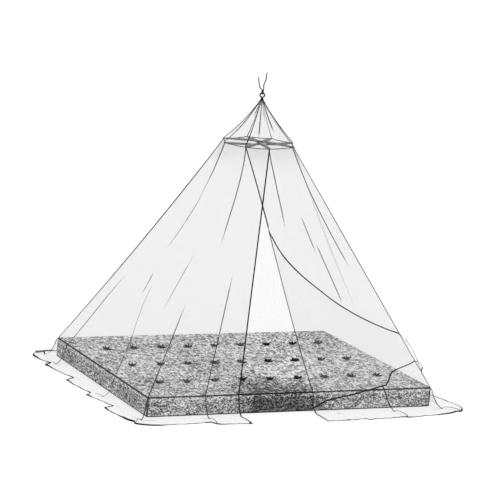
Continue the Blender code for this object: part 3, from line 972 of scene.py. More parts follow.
    def rim(self, place: float, inset: float = 0.0) -> tuple[Vector, Vector]:
        """Point on the rim.

        Args:
            place: Where it is, counted in slat ends.
            inset: How far inside the rim's cord.

        Returns:
            The point, and the way out from it.
        """
        sector = floor(place)
        share = place - sector
        near, far = self.tip_way(sector), self.tip_way(sector + 1)
        out = (near + far).normalized()
        point = near.lerp(far, share) * (self.rim_radius - inset) - out * self.rim_scallop * arch(share)
        point.z = self.rim_height - self.rim_droop * arch(share)
        return point, near.lerp(far, share).normalized()

    def outline(self, run: float, grow: float) -> Vector:
        """Point outside the mattress's outline.

        Args:
            run: Distance along the outline from the front-left corner.
            grow: Distance outside it.

        Returns:
            The point, at height 0.
        """
        left = run % self.outline_length
        for side in self.sides:
            if left <= side.length:
                break
            left -= side.length
        offset = left - side.length / 2
        straight = side.length / 2 - self.edge
        if abs(offset) <= straight:
            return side.along * offset + side.out * (side.depth + grow)
        angle = (abs(offset) - straight) / self.edge * pi / 4
        way = side.out * cos(angle) + side.along * copysign(sin(angle), offset)
        centre = side.along * copysign(straight, offset) + side.out * (side.depth - self.edge)
        return centre + way * (self.edge + grow)

    def line_value(self, place: float, name: str) -> float:
        """A line's value at a place between two lines."""
        number = min(int(place), len(self.lines) - 2)
        low, high = getattr(self.lines[number], name), getattr(self.lines[number + 1], name)
        return low + (high - low) * (place - number)

    def crease_share(self, place: float, crease: Crease) -> float:
        """How much of a crease stands at this place: 1 on its ridge, 0 beside it."""
        away = abs(place - crease.place) * self.per_line
        return float(np.interp(away, range(len(self.fold_shape)), self.fold_shape))

    def lift(self, column: float, share: float) -> float:
        """How far creases and folds lift the wall."""
        return sum(c.height * smooth_step(c.start, c.start + 0.2, share) * self.crease_share(column, c)
                   for c in self.creases + self.folds)

    def leant(self, column: float, share: float) -> float:
        """Place of a column at a share of the way down, as the columns lean along the drawn folds."""
        knots = [(number, number) for number in self.upright]
        knots += [(shade.place, float(np.interp(share, *zip(*shade.route)))) for shade in self.leaning]
        return float(np.interp(column, *zip(*sorted(knots))))

    def pleat(self, place: float) -> float:
        """Size of the hem's pleat, 0 to 1."""
        return sum(c.pleat * self.crease_share(place, c) for c in self.creases)

    def drop_point(self, column: float, share: float) -> Vector:
        """Point of the wall between the rim and the mattress's edge.

        Args:
            column: The column's place.
            share: How far down it is, 0 at the rim and 1 at the edge.

        Returns:
            The point.
        """
        place = self.leant(column, share)
        inset = self.thickness / 2 + self.overlap_inset * smooth_step(7, 8, place)
        top, top_out = self.rim(self.first_tip - place, inset)
        top.z -= self.wall_seat
        foot = self.outline(self.line_value(place, "run"), self.edge_out)
        foot_out = foot.normalized()
        foot.z = self.height - self.edge_drop
        hang = self.line_value(place, "lean") * arch(share)
        sink = self.hollow * smooth_step(0, 0.5, share) * arch(share) * arch(place % 1)
        lift = self.lift(column, share) * arch(share)
        stir = self.stir * arch(share) * ripple(place, self.stir_waves)
        gathers = self.gather_depth * smooth_step(0.30, 0.04, share) * smooth_step(0, 0.03, share)
        gathers *= sin(tau * self.gathers_per_line * place)
        way = top_out.lerp(foot_out, share).normalized()
        return top.lerp(foot, share) - way * (hang + sink - lift - stir - gathers)

    def skirt_point(self, column: float, height: float, out: float, share: float) -> Vector:
        """Point of the skirt beside the mattress.

        Args:
            column: The column's place.
            height: Height over the floor.
            out: Distance from the mattress's side.
            share: How far down it is, from 1 to 1.5.

        Returns:
            The point.
        """
        place = self.leant(column, share)
        fall = 1 - height / self.height
        push = self.pleat_push * self.pleat(column) * fall
        wave = self.skirt_stir * fall * (1 + ripple(place, self.skirt_waves))
        point = self.outline(self.line_value(place, "run"), out + push + wave)
        point.z = height
        return point

    def hem_reach(self, place: float) -> float:
        """How far the hem lies out: full at each pleat, and drawn back on one side of it.

        Args:
            place: A place, in lines.

        Returns:
            The distance from the mattress's side.
        """
        reach = self.line_value(place, "reach")
        for before, after in zip(self.creases, self.creases[1:]):
            if before.place < place <= after.place:
                share = (place - before.place) / (after.place - before.place)
                return reach * (1 - after.notch * (1 - share))
        return reach

    def floor_point(self, column: float, share: float) -> Vector:
        """Point of the hem's border, which lies on the floor.

        Args:
            column: The column's place.
            share: How far out it is, 0 at the skirt's foot and 1 at the hem's edge.

        Returns:
            The point.
        """
        place = self.leant(column, 1.5 + 0.5 * share)
        size = self.pleat(column)
        start = self.skirt_rows[-1][1] + self.pleat_push * size
        reach = self.hem_reach(column) + self.hem_sway * ripple(place, self.hem_waves)
        point = self.outline(self.line_value(place, "run"), start + (reach - start) * share)
        swell = self.swell * (1 + ripple(place, self.swell_waves)) * arch(share)
        rise = self.pleat_rise * size * arch(0.25 + min(share, 0.98) / 2)
        point.z = rise * smooth_step(1.0, 0.85, share) + swell
        return point

    def places(self) -> list[float]:
        """The wall's columns, with more to turn each corner of the mattress."""
        places = {n / self.per_line for n in range((len(self.lines) - 1) * self.per_line + 1)}
        for number in range(1, len(self.lines) - 1):
            line = self.lines[number]
            if min(abs(line.run - corner) for corner in self.corners) >= self.edge:
                continue
            before = line.run - self.lines[number - 1].run
            after = self.lines[number + 1].run - line.run
            for step in range(1, self.corner_steps + 1):
                part = self.edge * step / self.corner_steps
                places |= {number - part / before, number + part / after}
        return sorted(places)

    def column(self, place: float) -> list[Vector]:
        """One column of the wall.

        Args:
            place: Its place, in lines.

        Returns:
            Its points, from the rim to the hem.
        """
        above, below = self.rows_above_flap, self.rows_below_start
        shares = [self.flap_start * (n / above) ** 1.3 for n in range(above)]
        shares += [self.flap_start + (1 - self.flap_start) * n / below for n in range(below + 1)]
        column = [self.drop_point(place, share) for share in shares]
        rows = len(self.skirt_rows)
        column += [self.skirt_point(place, height, out, 1 + 0.5 * (row + 1) / rows)
                   for row, (height, out) in enumerate(self.skirt_rows)]
        shares = self.floor_shares + (1 - self.hem_inset / self.hem_reach(place), 1.0)
        return column + [self.floor_point(place, share) for share in shares]

    def lay_over(self, lines: Sequence[PanelLine], across: float, height: float,
                 stand_off: float) -> Vector:
        """Point that stands off the door panel, or past its ridge turns round it on an arc.

        Args:
            lines: The panel's lines, the ridge first.
            across: The point's x.
            height: Its height.
            stand_off: How far it stands off.

        Returns:
            The point.
        """
        def at(number: int, level: float) -> tuple[float, float]:
            """A panel line's x and y at a height."""
            heights, right, back = lines[number]
            return float(np.interp(level, heights, right)), float(np.interp(level, heights, back))

        right_x, right_y = at(0, height)
        if across > right_x:
            fallen = height - self.flap_fall * (across - right_x)
            ridge_x, ridge_y = at(0, fallen)
            over = max(across - ridge_x, 0.0)
            turn = min(over / stand_off, pi / 2)
            return Vector((ridge_x + stand_off * sin(turn),
                           ridge_y - stand_off * cos(turn) + over - turn * stand_off, fallen))
        for number in range(1, len(lines)):
            left_x, left_y = at(number, height)
            if left_x <= across <= right_x:
                share = (across - left_x) / max(right_x - left_x, 1e-9)
                return Vector((across, left_y + (right_y - left_y) * share - stand_off, height))
            right_x, right_y = left_x, left_y
        return Vector((across, right_y - stand_off, height))

    def panel_lines(self, columns: dict[float, list[Vector]], foot: int) -> list[PanelLine]:
        """The door panel's lines under the flap, the ridge first.

        Args:
            columns: The wall's columns by place.
            foot: Lowest row that the flap takes in.

        Returns:
            The lines.
        """
        lines = []
        for place in sorted(columns):
            number = place * self.per_line
            whole = abs(number - round(number)) < 1e-6
            if place >= self.flap_side and whole and round(number) % self.flap_line_step == 0:
                points = columns[place][:foot + 4][::-1]
                lines.append(tuple(np.array([getattr(p, axis) for p in points]) for axis in "zxy"))
        return lines

    def flap(self, columns: dict[float, list[Vector]], apex: int, foot: int) -> dict[int, list[Vector]]:
        """Rows of the door flap: round the fold, then back over the outside of the wall.

        Args:
            columns: The wall's columns by place.
            apex: Row where the fold starts.
            foot: Lowest row that it takes in.

        Returns:
            The points of each row, from the fold out.
        """
        places = sorted(columns)
        fold, beside = columns[places[-1]], columns[places[-2]]
        under = self.panel_lines(columns, foot)
        length = sum((fold[row + 1] - fold[row]).length for row in range(apex, foot))
        wave_height, wave_across, wave_down = self.flap_waves
        rows, gone = {}, 0.0
        for row in range(apex + 1, foot + 1):
            gone += (fold[row] - fold[row - 1]).length
            down = gone / length
            width = self.flap_width * down ** self.flap_spread + self.flap_corner * down ** 9
            right = (beside[row] - fold[row]).normalized()
            along = (fold[row] - fold[row - 1]).normalized()
            out = along.cross(right).normalized()
            out = -out if out.y > 0 else out
            bend = self.flap_bend * smooth_step(0, 0.06, down)
            points = []
            for step in range(1, self.bend_columns + 1):
                turn = pi * step / self.bend_columns
                points.append(fold[row] + bend * (out * (1 - cos(turn)) - right * sin(turn)))
            start = points[-1].copy()
            seat = start - self.lay_over(under, start.x, start.z, 2 * bend)
            for number in range(1, self.flap_columns + 1):
                share = number / self.flap_columns
                stand_off = 2 * bend + self.flap_puff * smooth_step(0, 0.3, width * share)
                drawn_up = float(np.interp(share, *zip(*self.flap_hem))) * down ** 6
                level = start.z + self.flap_rise * width * share + drawn_up
                laid = self.lay_over(under, start.x + width * share, level, stand_off)
                stir = abs(sin(tau * (wave_across * share + wave_down * down))) * arch(share)
                points.append(laid + seat * (1 - share) - Vector((0, wave_height * down * stir, 0)))
            rows[row] = points
        return rows

    def build(self, finish: Material) -> Piece:
        """Build the wall with its flap.

        Args:
            finish: The net's material.

        Returns:
            The cloth.
        """
        places = self.places()
        columns = {place: self.column(place) for place in places}
        count, depth = len(places), len(columns[places[0]])
        apex = self.rows_above_flap
        foot = next(row for row, point in enumerate(columns[places[-1]]) if point.z <= self.flap_foot + 1e-6)
        points = {(c, r): columns[place][r] for c, place in enumerate(places) for r in range(depth)}
        flap = self.flap(columns, apex, foot)
        width = len(flap[foot])
        for row in range(apex, foot + 1):
            for number in range(width):
                points[count + number, row] = flap[row][number] if row > apex else points[count - 1, apex]
        across, down = self.measure(points, range(count), range(depth))
        over, up = self.measure(points, range(count - 1, count + width), range(foot, apex - 1, -1))
        marks = self.wall_marks(points, places, across, down, foot)
        flat = {spot: (across[spot], down[spot]) for spot in across}
        for row in range(apex, foot + 1):
            border = 1 + self.border_growth * (row - apex) / (foot - apex)
            for column in range(count, count + width):
                spot = column, row
                edge = min(over[count + width - 1, row] - over[spot], up[spot]) / border
                marks[spot] = Mark(over[spot], 1.0, edge, self.flap_gather)
                flat[spot] = across[count - 1, row] + over[spot], down[count - 1, row]
        spans = [(c, r) for c in range(count - 1) for r in range(depth - 1)]
        spans += [(c, r) for c in range(count - 1, count + width - 1) for r in range(apex, foot)]
        faces = [((c, r), (c + 1, r), (c + 1, r + 1), (c, r + 1)) for c, r in spans]
        return self.cloth("wall_cloth", points, faces, marks, flat, finish, 1.0)

    def wall_marks(self, points: dict[Spot, Vector], places: Sequence[float], across: dict[Spot, float],
                   down: dict[Spot, float], foot: int) -> dict[Spot, Mark]:
        """What the material reads at each point of the wall but the flap's.

        Args:
            points: The point at each column and row.
            places: The columns' places.
            across: Each point's distance along its row.
            down: Each point's distance down its column.
            foot: Lowest row that the fold takes in.

        Returns:
            The marks.
        """
        count, depth = len(places), 1 + max(row for _, row in down)
        drop_end = self.rows_above_flap + self.rows_below_start
        near = [(shade, min(range(count), key=lambda c: abs(places[c] - shade.place))) for shade in self.painted_shades]
        marks = {}
        for row in range(depth):
            share = float(np.interp(down[0, row], (0, down[0, drop_end], down[0, depth - 1]), (0, 1, 2)))
            level = [(self.shade_at(shade, share), shade.width, across[column, row]) for shade, column in near]
            gather = self.rim_gather * smooth_step(self.rim_gather_end, 0.0, share)
            folded = self.rows_above_flap < row <= foot
            for column in range(count):
                spot = column, row
                away, dark = min((abs(across[spot] - middle) / width, -dark) for dark, width, middle in level)
                hem = (down[column, depth - 1] - down[spot]) / self.hem_wide
                free = inf if folded else across[count - 1, row] - across[spot]
                doubled = self.doubled(points[spot], points[0, row], points[count - 1, row])
                marks[spot] = Mark(away, -dark, min(hem, across[spot], free),
                                   gather + self.double_gather * doubled)
        return marks

    def doubled(self, point: Vector, hanging: Vector, folded: Vector) -> float:
        """Whether both of the door's panels are here.

        Args:
            point: A point of the wall.
            hanging: The point of the door's hanging edge in the same row.
            folded: The point of its folded edge.

        Returns:
            1 between the edges where they overlap, and 0 elsewhere.
        """
        turn, left, right = (degrees(atan2(-spot.x, -spot.y)) for spot in (point, folded, hanging))
        return smooth_step(0, self.double_soft, left - turn) * smooth_step(0, self.double_soft, turn - right)

    @staticmethod
    def shade_at(shade: PaintedShade, share: float) -> float:
        """How dark a fold's painted shade is at a share of the way down."""
        return shade.dark * smooth_step(shade.start, shade.start + shade.fade, share) * smooth_step(
            shade.end, shade.end - shade.fade, share)


@dataclass
class Crown(Net):
    """The crown of net: a cone from the rim up to its gather under the ring."""

    wall: Wall = field(default_factory=Wall)
    seat: float = 0.00364  # above the rim cord's middle
    neck_radius: float = 0.006
    curve: float = 1.22
    slump: float = 0.07  # how far its left side hangs in
    hollow: float = 0.07
    pleat: float = 0.16  # depth of the gather's pleats at the neck
    pleats_per_tip: int = 3
    per_tip: int = 24
    rows: int = 40
    tip_shade: Curve = (  # painted shade from the neck to each slat end: how dark and wide, round from the right
        (1.0, 1.8), (0.7, 0.9), (0.8, 1.0), (1.0, 1.8), (1.0, 1.3), (1.0, 1.2), (0.0, 1.0), (1.0, 1.2),
    )
    short_folds: tuple[tuple[int, float, float, float], ...] = (  # painted shade of short folds: column, where it ends, how dark and wide
        (108, 0.45, 0.9, 1.0), (132, 0.85, 0.9, 1.0), (143, 0.5, 0.9, 1.0), (157, 0.75, 1.0, 1.1),
        (174, 0.35, 0.9, 1.0),
    )
    neck_gather: float = 5.0  # how much closer the mesh lies at the neck, and down to where
    neck_gather_end: float = 0.22
    waves: Waves = ((3.0, 0.2, 1.0), (6.0, 0.5, 0.6))
    wave_height: float = 0.0022
    top: float = field(default_factory=lambda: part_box("crown_net")[1].z)

    def point(self, place: float, share: float) -> Vector:
        """Point of the crown.

        Args:
            place: Where it is, counted in slat ends.
            share: How far down it is, 0 at the neck and 1 at the rim.

        Returns:
            The point.
        """
        edge, _ = self.wall.rim(place, -self.thickness / 2)
        edge.z += self.seat
        neck = self.neck_radius / self.wall.rim_radius
        size = neck + (1 - neck) * share ** self.curve
        sink = self.hollow * arch(share) * arch(place % 1)
        wave = cos(tau * self.pleats_per_tip * place)
        left = max(cos(radians(180) - atan2(edge.y, edge.x)), 0.0)
        size *= 1 - sink - self.slump * left * arch(share) + self.pleat * wave * (1 - share) ** 6
        size += self.wave_height / self.wall.rim_radius * arch(share) * ripple(place, self.waves)
        return Vector((edge.x * size, edge.y * size, self.top + (edge.z - self.top) * share))

    def build(self, finish: Material) -> Piece:
        """Build the crown.

        Args:
            finish: The net's material.

        Returns:
            The cloth.
        """
        count = len(self.wall.tip_turns) * self.per_tip
        shares = [(row / self.rows) ** 1.5 for row in range(self.rows + 1)]
        ring = [[self.point(column / self.per_tip, share) for share in shares] for column in range(count)]
        ring.append(ring[0])
        middle = Vector((0, 0, ring[0][0].z))
        points = {(c, r + 1): ring[c][r] for c in range(count + 1) for r in range(self.rows + 1)}
        points |= {(c, 0): middle for c in range(count + 1)}
        depth = self.rows + 2
        across, down = self.measure(points, range(count + 1), range(depth))
        flat = {spot: (across[spot], down[spot]) for spot in points}
        # painted shade lines from the neck to the slat ends and along short folds
        folds = [(tip * self.per_tip, 2.0, dark, width) for tip, (dark, width) in enumerate(self.tip_shade)]
        folds += [(count, 2.0, *self.tip_shade[0]), *self.short_folds]
        marks = {}
        for column, row in points:
            share = shares[max(row - 1, 0)]
            away, dark = min((abs(across[column, row] - across[place, row]) / width,
                              dark * smooth_step(end, end - 0.2, share)) for place, end, dark, width in folds)
            gather = self.neck_gather * smooth_step(self.neck_gather_end, 0.0, share)
            marks[column, row] = Mark(away, dark, 1.0, gather)
        faces = [((c, r), (c, r + 1), (c + 1, r + 1), (c + 1, r))
                 for c in range(count) for r in range(depth - 1)]
        return self.cloth("crown_cloth", points, faces, marks, flat, finish, -1.0)


@dataclass
class Rim:
    """The bound seam between crown and wall: a folded tape with its stitches."""

    kit: Kit
    wall: Wall
    half_height: float = 0.0026
    half_thickness: float = 0.0023
    stitch_drop: float = 0.0013  # of the stitches under the tape's middle
    stitch_pitch: float = 0.0055
    stitch_length: float = 0.0032
    stitch_seat: float = 0.93  # how far out in the tape it lies, as a share
    thread_radius: float = 0.00045
    thread_rounding: float = 0.00018
    section_points: int = 14
    pinch: float = 0.10  # how far a stitch draws the tape in, as a share
    squareness: float = 0.7  # power that squares its section: 1 is round
    steps: int = 36  # points between two slat ends

    def section(self, gone: float) -> Points:
        """Section of the tape, a little drawn in at each stitch.

        Args:
            gone: Distance along the tape.

        Returns:
            Its points, out and up.
        """
        pinch = 1 - self.pinch * (0.5 + 0.5 * cos(tau * gone / self.stitch_pitch))
        turns = [tau * n / self.section_points for n in range(self.section_points)]
        return [(self.half_thickness * pinch * copysign(abs(cos(t)) ** self.squareness, cos(t)),
                 self.half_height * sin(t)) for t in turns]

    def stitch_place(self, place: float) -> Matrix:
        """Place and turn of a stitch on the outside of the tape.

        Args:
            place: Where it is, counted in slat ends.

        Returns:
            Its matrix.
        """
        point, out = self.wall.rim(place)
        along = (self.wall.rim(place + 0.01)[0] - point).normalized()
        side = along.cross(Vector((0, 0, 1))).normalized()
        side = side if side.dot(out) > 0 else -side
        turn = Matrix((along, side, along.cross(side))).transposed().to_4x4()
        seat = point + side * (self.half_thickness * self.stitch_seat) - Vector((0, 0, self.stitch_drop))
        return Matrix.Translation(seat) @ turn

    def build(self, tape: Material, thread: Material) -> list[Piece]:
        """Build the tape and its stitches.

        Args:
            tape: The tape's material.
            thread: The stitches' material.

        Returns:
            Both pieces.
        """
        ends = len(self.wall.tip_turns)
        path = [self.wall.rim(number / self.steps)[0] for number in range(ends * self.steps)]
        binding = self.kit.sweep("rim_tape", path, self.section, tape, closed=True, upright=True)
        length = sum((after - before).length for before, after in zip(path, path[1:] + path[:1]))
        total = int(length / self.stitch_pitch)
        bpy.ops.mesh.primitive_cylinder_add(vertices=6, radius=self.thread_radius, depth=self.stitch_length,
                                            rotation=(0, pi / 2, 0))
        stitch = bpy.context.object
        with self.kit.editing(stitch):
            bpy.ops.mesh.bevel(offset=self.thread_rounding, segments=1)
        self.kit.apply(stitch)
        self.kit.dress(stitch, "stitch", thread)
        places = [self.stitch_place(number / total * ends) for number in range(total)]
        stitches = self.kit.repeat(stitch, places, "rim_stitches")
        self.kit.ready(binding, Slot.BINDING, "rim_binding")
        self.kit.ready(stitches, Slot.BINDING)
        return [binding, stitches]


@dataclass
class Spreader:
    """Four crossed slats and the pin through them."""

    kit: Kit
    wall: Wall
    width: float = 0.0245
    thickness: float = 0.0065
    pitch: float = 0.0069
    length: float = 0.244
    rounding: float = 0.0016
    pin_radius: float = 0.0065
    pin_height: float = 0.003
    pin_gap: float = 0.00015  # between its heads and the outer slats
    shank_radius: float = 0.0025
    dome: Curve = (  # its steps: shares of the height, and of the radius
        (0.30, 1.0), (0.25, 0.95), (0.2, 0.86), (0.15, 0.70), (0.10, 0.45),
    )
    stations: tuple[tuple[float, float, float], ...] = (  # shares of the length, width and thickness
        (0.0, 0.70, 1.0), (0.06, 0.72, 1.0), (0.15, 0.84, 1.0), (0.24, 0.96, 1.35), (0.34, 1.0, 1.75),
        (0.45, 1.0, 1.9), (0.60, 0.97, 1.85), (0.72, 0.90, 1.7), (0.82, 0.80, 1.5), (0.90, 0.66, 1.25),
        (0.95, 0.52, 1.05), (0.98, 0.36, 0.85), (1.0, 0.14, 0.6),
    )
    across_lines: tuple[float, ...] = (0.0, 0.30, 0.42)  # shares of the width

    def outline(self, along: float) -> float:
        """A slat's half-width at a distance from the pin."""
        shares, widths, _ = zip(*self.stations)
        return 0.5 * self.width * float(np.interp(abs(along) / self.length, shares, widths))

    def slat(self, number: int, finish: Material) -> None:
        """Model one slat: a bar cut at its stations, drawn to a leaf's outline and sprung level.

        Args:
            number: The slat's number, from 0 at the bottom.
            finish: Its material.
        """
        height = self.wall.rim_height
        bpy.ops.mesh.primitive_cube_add(size=1.0, location=(0, 0, height))
        slat = bpy.context.object
        slat.scale = (2 * self.length, self.width, self.thickness)
        self.kit.apply(slat)
        cuts = [share * self.length for share, _, _ in self.stations[1:-1]]
        planes = [((along, 0, 0), (1, 0, 0)) for along in [-cut for cut in cuts] + [0.0] + cuts]
        planes += [((0, side * share * self.width, 0), (0, 1, 0))
                   for share in self.across_lines for side in ((-1, 1) if share else (1,))]
        planes.append(((0, 0, height), (0, 0, 1)))
        level = (number - 1.5) * self.pitch
        with self.kit.editing(slat):
            for point, normal in planes:
                bpy.ops.mesh.select_all(action='SELECT')
                bpy.ops.mesh.bisect(plane_co=point, plane_no=normal)
            for share, wide, thick in self.stations:
                for side in (-1, 1) if share else (1,):
                    along = side * share * self.length
                    self.kit.pick(slat, lambda co: abs(co.x - along) < 1e-5)
                    bpy.ops.transform.resize(value=(1, wide, thick), center_override=(along, 0, height))
                    bpy.ops.transform.translate(value=(0, 0, level * (1 - share * share)))
        edges = slat.modifiers.new("Rounded edges", 'BEVEL')
        edges.width = self.rounding
        edges.segments = 3
        edges.limit_method = 'ANGLE'
        edges.angle_limit = radians(40)
        self.kit.apply(slat)
        self.mark(slat, level)
        slat.rotation_euler = (0, 0, radians(self.wall.tip_turns[number]))
        self.kit.apply(slat)
        self.kit.dress(slat, f"slat_board_{number + 1}", finish)
        self.kit.smooth(slat, 50)
        self.kit.ready(slat, Slot.SLATS, f"slat_{number + 1}")

    def mark(self, slat: Piece, level: float) -> None:
        """Give a slat the attributes along and rim, its distances from the pin and its long edges.

        Args:
            slat: The slat, before it is turned.
            level: Height of its middle over the spreader's.
        """
        along = slat.data.attributes.new("along", 'FLOAT', 'POINT')
        rim = slat.data.attributes.new("rim", 'FLOAT', 'POINT')
        shares, _, thick = zip(*self.stations)
        middles = [level * (1 - share * share) for share in shares]
        for index, vert in enumerate(slat.data.vertices):
            share = abs(vert.co.x) / self.length
            up = abs(vert.co.z - self.wall.rim_height - float(np.interp(share, shares, middles)))
            half = self.thickness / 2 * float(np.interp(share, shares, thick))
            along.data[index].value = vert.co.x
            rim.data[index].value = hypot(max(self.outline(vert.co.x) - abs(vert.co.y), 0.0),
                                               max(half - up, 0.0))

    def pin(self, finish: Material) -> None:
        """Model the pin: a shank with a domed head at both ends.

        Args:
            finish: Its material.
        """
        height = self.wall.rim_height
        seat = 2 * self.pitch + self.pin_gap
        heads = []
        for side in (1, -1):
            bpy.ops.mesh.primitive_circle_add(vertices=32, radius=self.pin_radius, fill_type='NGON',
                                              location=(0, 0, height + side * seat))
            heads.append(self.kit.apply(bpy.context.object))
            with self.kit.editing(heads[-1]):
                radius = 1.0
                for rise, size in self.dome:
                    bpy.ops.mesh.extrude_region_move(
                        TRANSFORM_OT_translate={"value": (0, 0, side * rise * self.pin_height)})
                    bpy.ops.transform.resize(value=(size / radius, size / radius, 1),
                                             center_override=(0, 0, height))
                    radius = size
                bpy.ops.mesh.select_all(action='SELECT')
                bpy.ops.mesh.normals_make_consistent(inside=False)
        bpy.ops.mesh.primitive_cylinder_add(vertices=16, radius=self.shank_radius, depth=2 * seat,
                                            location=(0, 0, height))
        shank = self.kit.apply(bpy.context.object)
        pin = self.kit.join([shank, *heads], "pin")
        self.kit.dress(pin, "pin", finish)
        self.kit.smooth(pin, 40)
        self.kit.ready(pin, Slot.RING, "slat_pin")

    def build(self, wood: Material, steel: Material) -> None:
        """Build the slats and the pin.

        Args:
            wood: The slats' material.
            steel: The pin's material.
        """
        for number in range(len(self.wall.tip_turns) // 2):
            self.slat(number, wood)
        self.pin(steel)


@dataclass
class Hanger:
    """The ring over the gather, and the tie round it with its two free ends."""

    kit: Kit
    ring_radius: float = 0.0147
    wire_radius: float = 0.0046
    turn: float = radians(-25)
    wire_flatness: float = 0.94  # its section's width across the ring, as a share
    weld_turn: float = 128.0  # degrees round the ring from its right
    weld: Curve = ((0.0, 0.90), (5.0, 1.06), (-5.0, 1.06))  # degrees away, and size
    weld_reach: float = 2.4  # degrees on each side that take that size
    tie_radius: float = 0.0036
    knot_radius: float = 0.0065
    knot_gap: float = 0.0005
    knot_swing: tuple[float, float] = (0.0038, 0.0014)  # reach of the knot's loop, and its change
    knot_depth: float = 0.0017
    knot_steps: int = 64
    turn_steps: int = 32
    turn_gap: float = 0.0006  # between the wire and the turns round it
    turn_sway: float = 0.0004
    cord_lay: float = 0.011
    cord_sides: int = 12
    cord_strands: int = 3
    knot_groove: float = 0.16  # depth between the strands, as a share of the cord's radius
    tail_groove: float = 0.14
    fray: float = 0.35
    fray_length: float = 0.006
    tail_left: Curve = (  # across, and up from the knot's middle
        (-0.0039, 0.0056), (-0.0075, 0.0107), (-0.0150, 0.0180), (-0.0215, 0.0270),
        (-0.0262, 0.0440), (-0.0285, 0.0580), (-0.0310, 0.0740), (-0.0328, 0.0900))
    tail_right: Curve = (
        (0.0030, 0.0061), (0.0058, 0.0118), (0.0060, 0.0220), (0.0045, 0.0340), (0.0070, 0.0500),
        (0.0145, 0.0680), (0.0176, 0.0800), (0.0160, 0.0970), (0.0180, 0.1100), (0.0205, 0.1220))
    tail_steps: int = 6

    def __post_init__(self) -> None:
        """Read the ring's place from the frame."""
        low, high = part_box("hang_ring")
        self.ring_height = (low.z + high.z) / 2
        self.knot_height = (self.ring_height + self.ring_radius + self.wire_radius + self.knot_radius
                            + self.knot_gap)

    def frame_at(self, height: float) -> Matrix:
        """Place and turn of something that stands in the ring's plane, its axis along the ring's."""
        return Matrix.Translation((0, 0, height)) @ Matrix.Rotation(self.turn, 4, 'Z')

    def ring(self, finish: Material) -> None:
        """Model the ring: a wire's section spun round, with its welded ends.

        Args:
            finish: Its material.
        """
        bpy.ops.mesh.primitive_circle_add(vertices=16, radius=self.wire_radius, fill_type='NOTHING',
                                          location=(self.ring_radius, 0, 0))
        ring = bpy.context.object
        with self.kit.editing(ring):
            bpy.ops.transform.resize(value=(1.0, self.wire_flatness, 1.0))
        self.kit.apply(ring)
        with self.kit.editing(ring):
            bpy.ops.mesh.spin(steps=72, angle=tau, center=(0, 0, 0), axis=(0, 1, 0))
            bpy.ops.mesh.select_all(action='SELECT')
            bpy.ops.mesh.remove_doubles(threshold=0.00001)
            bpy.ops.mesh.normals_make_consistent(inside=False)
            for away, size in self.weld:
                spot = radians(self.weld_turn) + radians(away)
                centre = Vector((cos(spot), 0, sin(spot))) * self.ring_radius
                reach = radians(self.weld_reach)
                self.kit.pick(ring, lambda co: abs(atan2(co.z, co.x) - spot) < reach)
                bpy.ops.transform.resize(value=(size, size, size), center_override=centre)
        ring.data.transform(self.frame_at(self.ring_height))
        self.kit.dress(ring, "ring", finish)
        self.kit.smooth(ring)
        self.kit.ready(ring, Slot.RING, "hang_ring")

    def knot(self, finish: Material) -> None:
        """The tie's knot, with its two turns round the ring's wire.

        Args:
            finish: Its material.
        """
        section = round_section(self.tie_radius, self.cord_sides, self.cord_strands, self.cord_lay,
                                self.knot_groove)
        place = self.frame_at(self.knot_height)
        middle, change = self.knot_swing
        loop = []
        for step in range(self.knot_steps):
            t = tau * step / self.knot_steps
            swing = middle + change * cos(3 * t)
            loop.append(place @ Vector((swing * cos(2 * t), self.knot_depth * sin(3 * t) * 1.2,
                                        swing * sin(2 * t) * 0.95)))
        parts = [self.kit.sweep("knot_loop", loop, section, finish, closed=True)]
        around = self.wire_radius + self.turn_gap + self.tie_radius
        at_wire = self.frame_at(self.ring_height + self.ring_radius)
        turns = [tau * step / self.turn_steps for step in range(self.turn_steps)]
        for side in (-1, 1):
            turn = [at_wire @ Vector((side * 1.08 * self.tie_radius + self.turn_sway * sin(t),
                                      around * sin(t), around * cos(t))) for t in turns]
            parts.append(self.kit.sweep(f"knot_turn_{side}", turn, section, finish, closed=True))
        knot = self.kit.join(parts, "knot")
        self.kit.smooth(knot, 60)
        self.kit.ready(knot, Slot.CORD, "tie_knot")

    def tail(self, name: str, node: str, route: Curve, finish: Material) -> None:
        """One free end of the tie, as a laid cord of three strands with a frayed end.

        Args:
            name: The object's name.
            node: The node that it replaces.
            route: Its points in the ring's plane, across and up from the knot's middle.
            finish: Its material.
        """
        place = self.frame_at(self.knot_height)
        path = smooth_route([place @ Vector((across, 0, up)) for across, up in route], self.tail_steps)
        length = sum((after - before).length for before, after in zip(path, path[1:]))
        laid = round_section(self.tie_radius, self.cord_sides, self.cord_strands, self.cord_lay,
                             self.tail_groove)

        def section(gone: float) -> Points:
            """The cord's section, drawn in towards the frayed end."""
            fray = 1 - self.fray * smooth_step(length - self.fray_length, length, gone)
            return [(across * fray, up * fray) for across, up in laid(gone)]

        tail = self.kit.sweep(name, path, section, finish)
        self.kit.ready(tail, Slot.CORD, node)

    def build(self, steel: Material, cord: Material) -> None:
        """Build the tie's free ends, its knot and the ring.

        Args:
            steel: The ring's material.
            cord: The tie's material.
        """
        self.tail("tail_left", "tie_tail_left", self.tail_left, cord)
        self.tail("tail_right", "tie_tail_right", self.tail_right, cord)
        self.knot(cord)
        self.ring(steel)


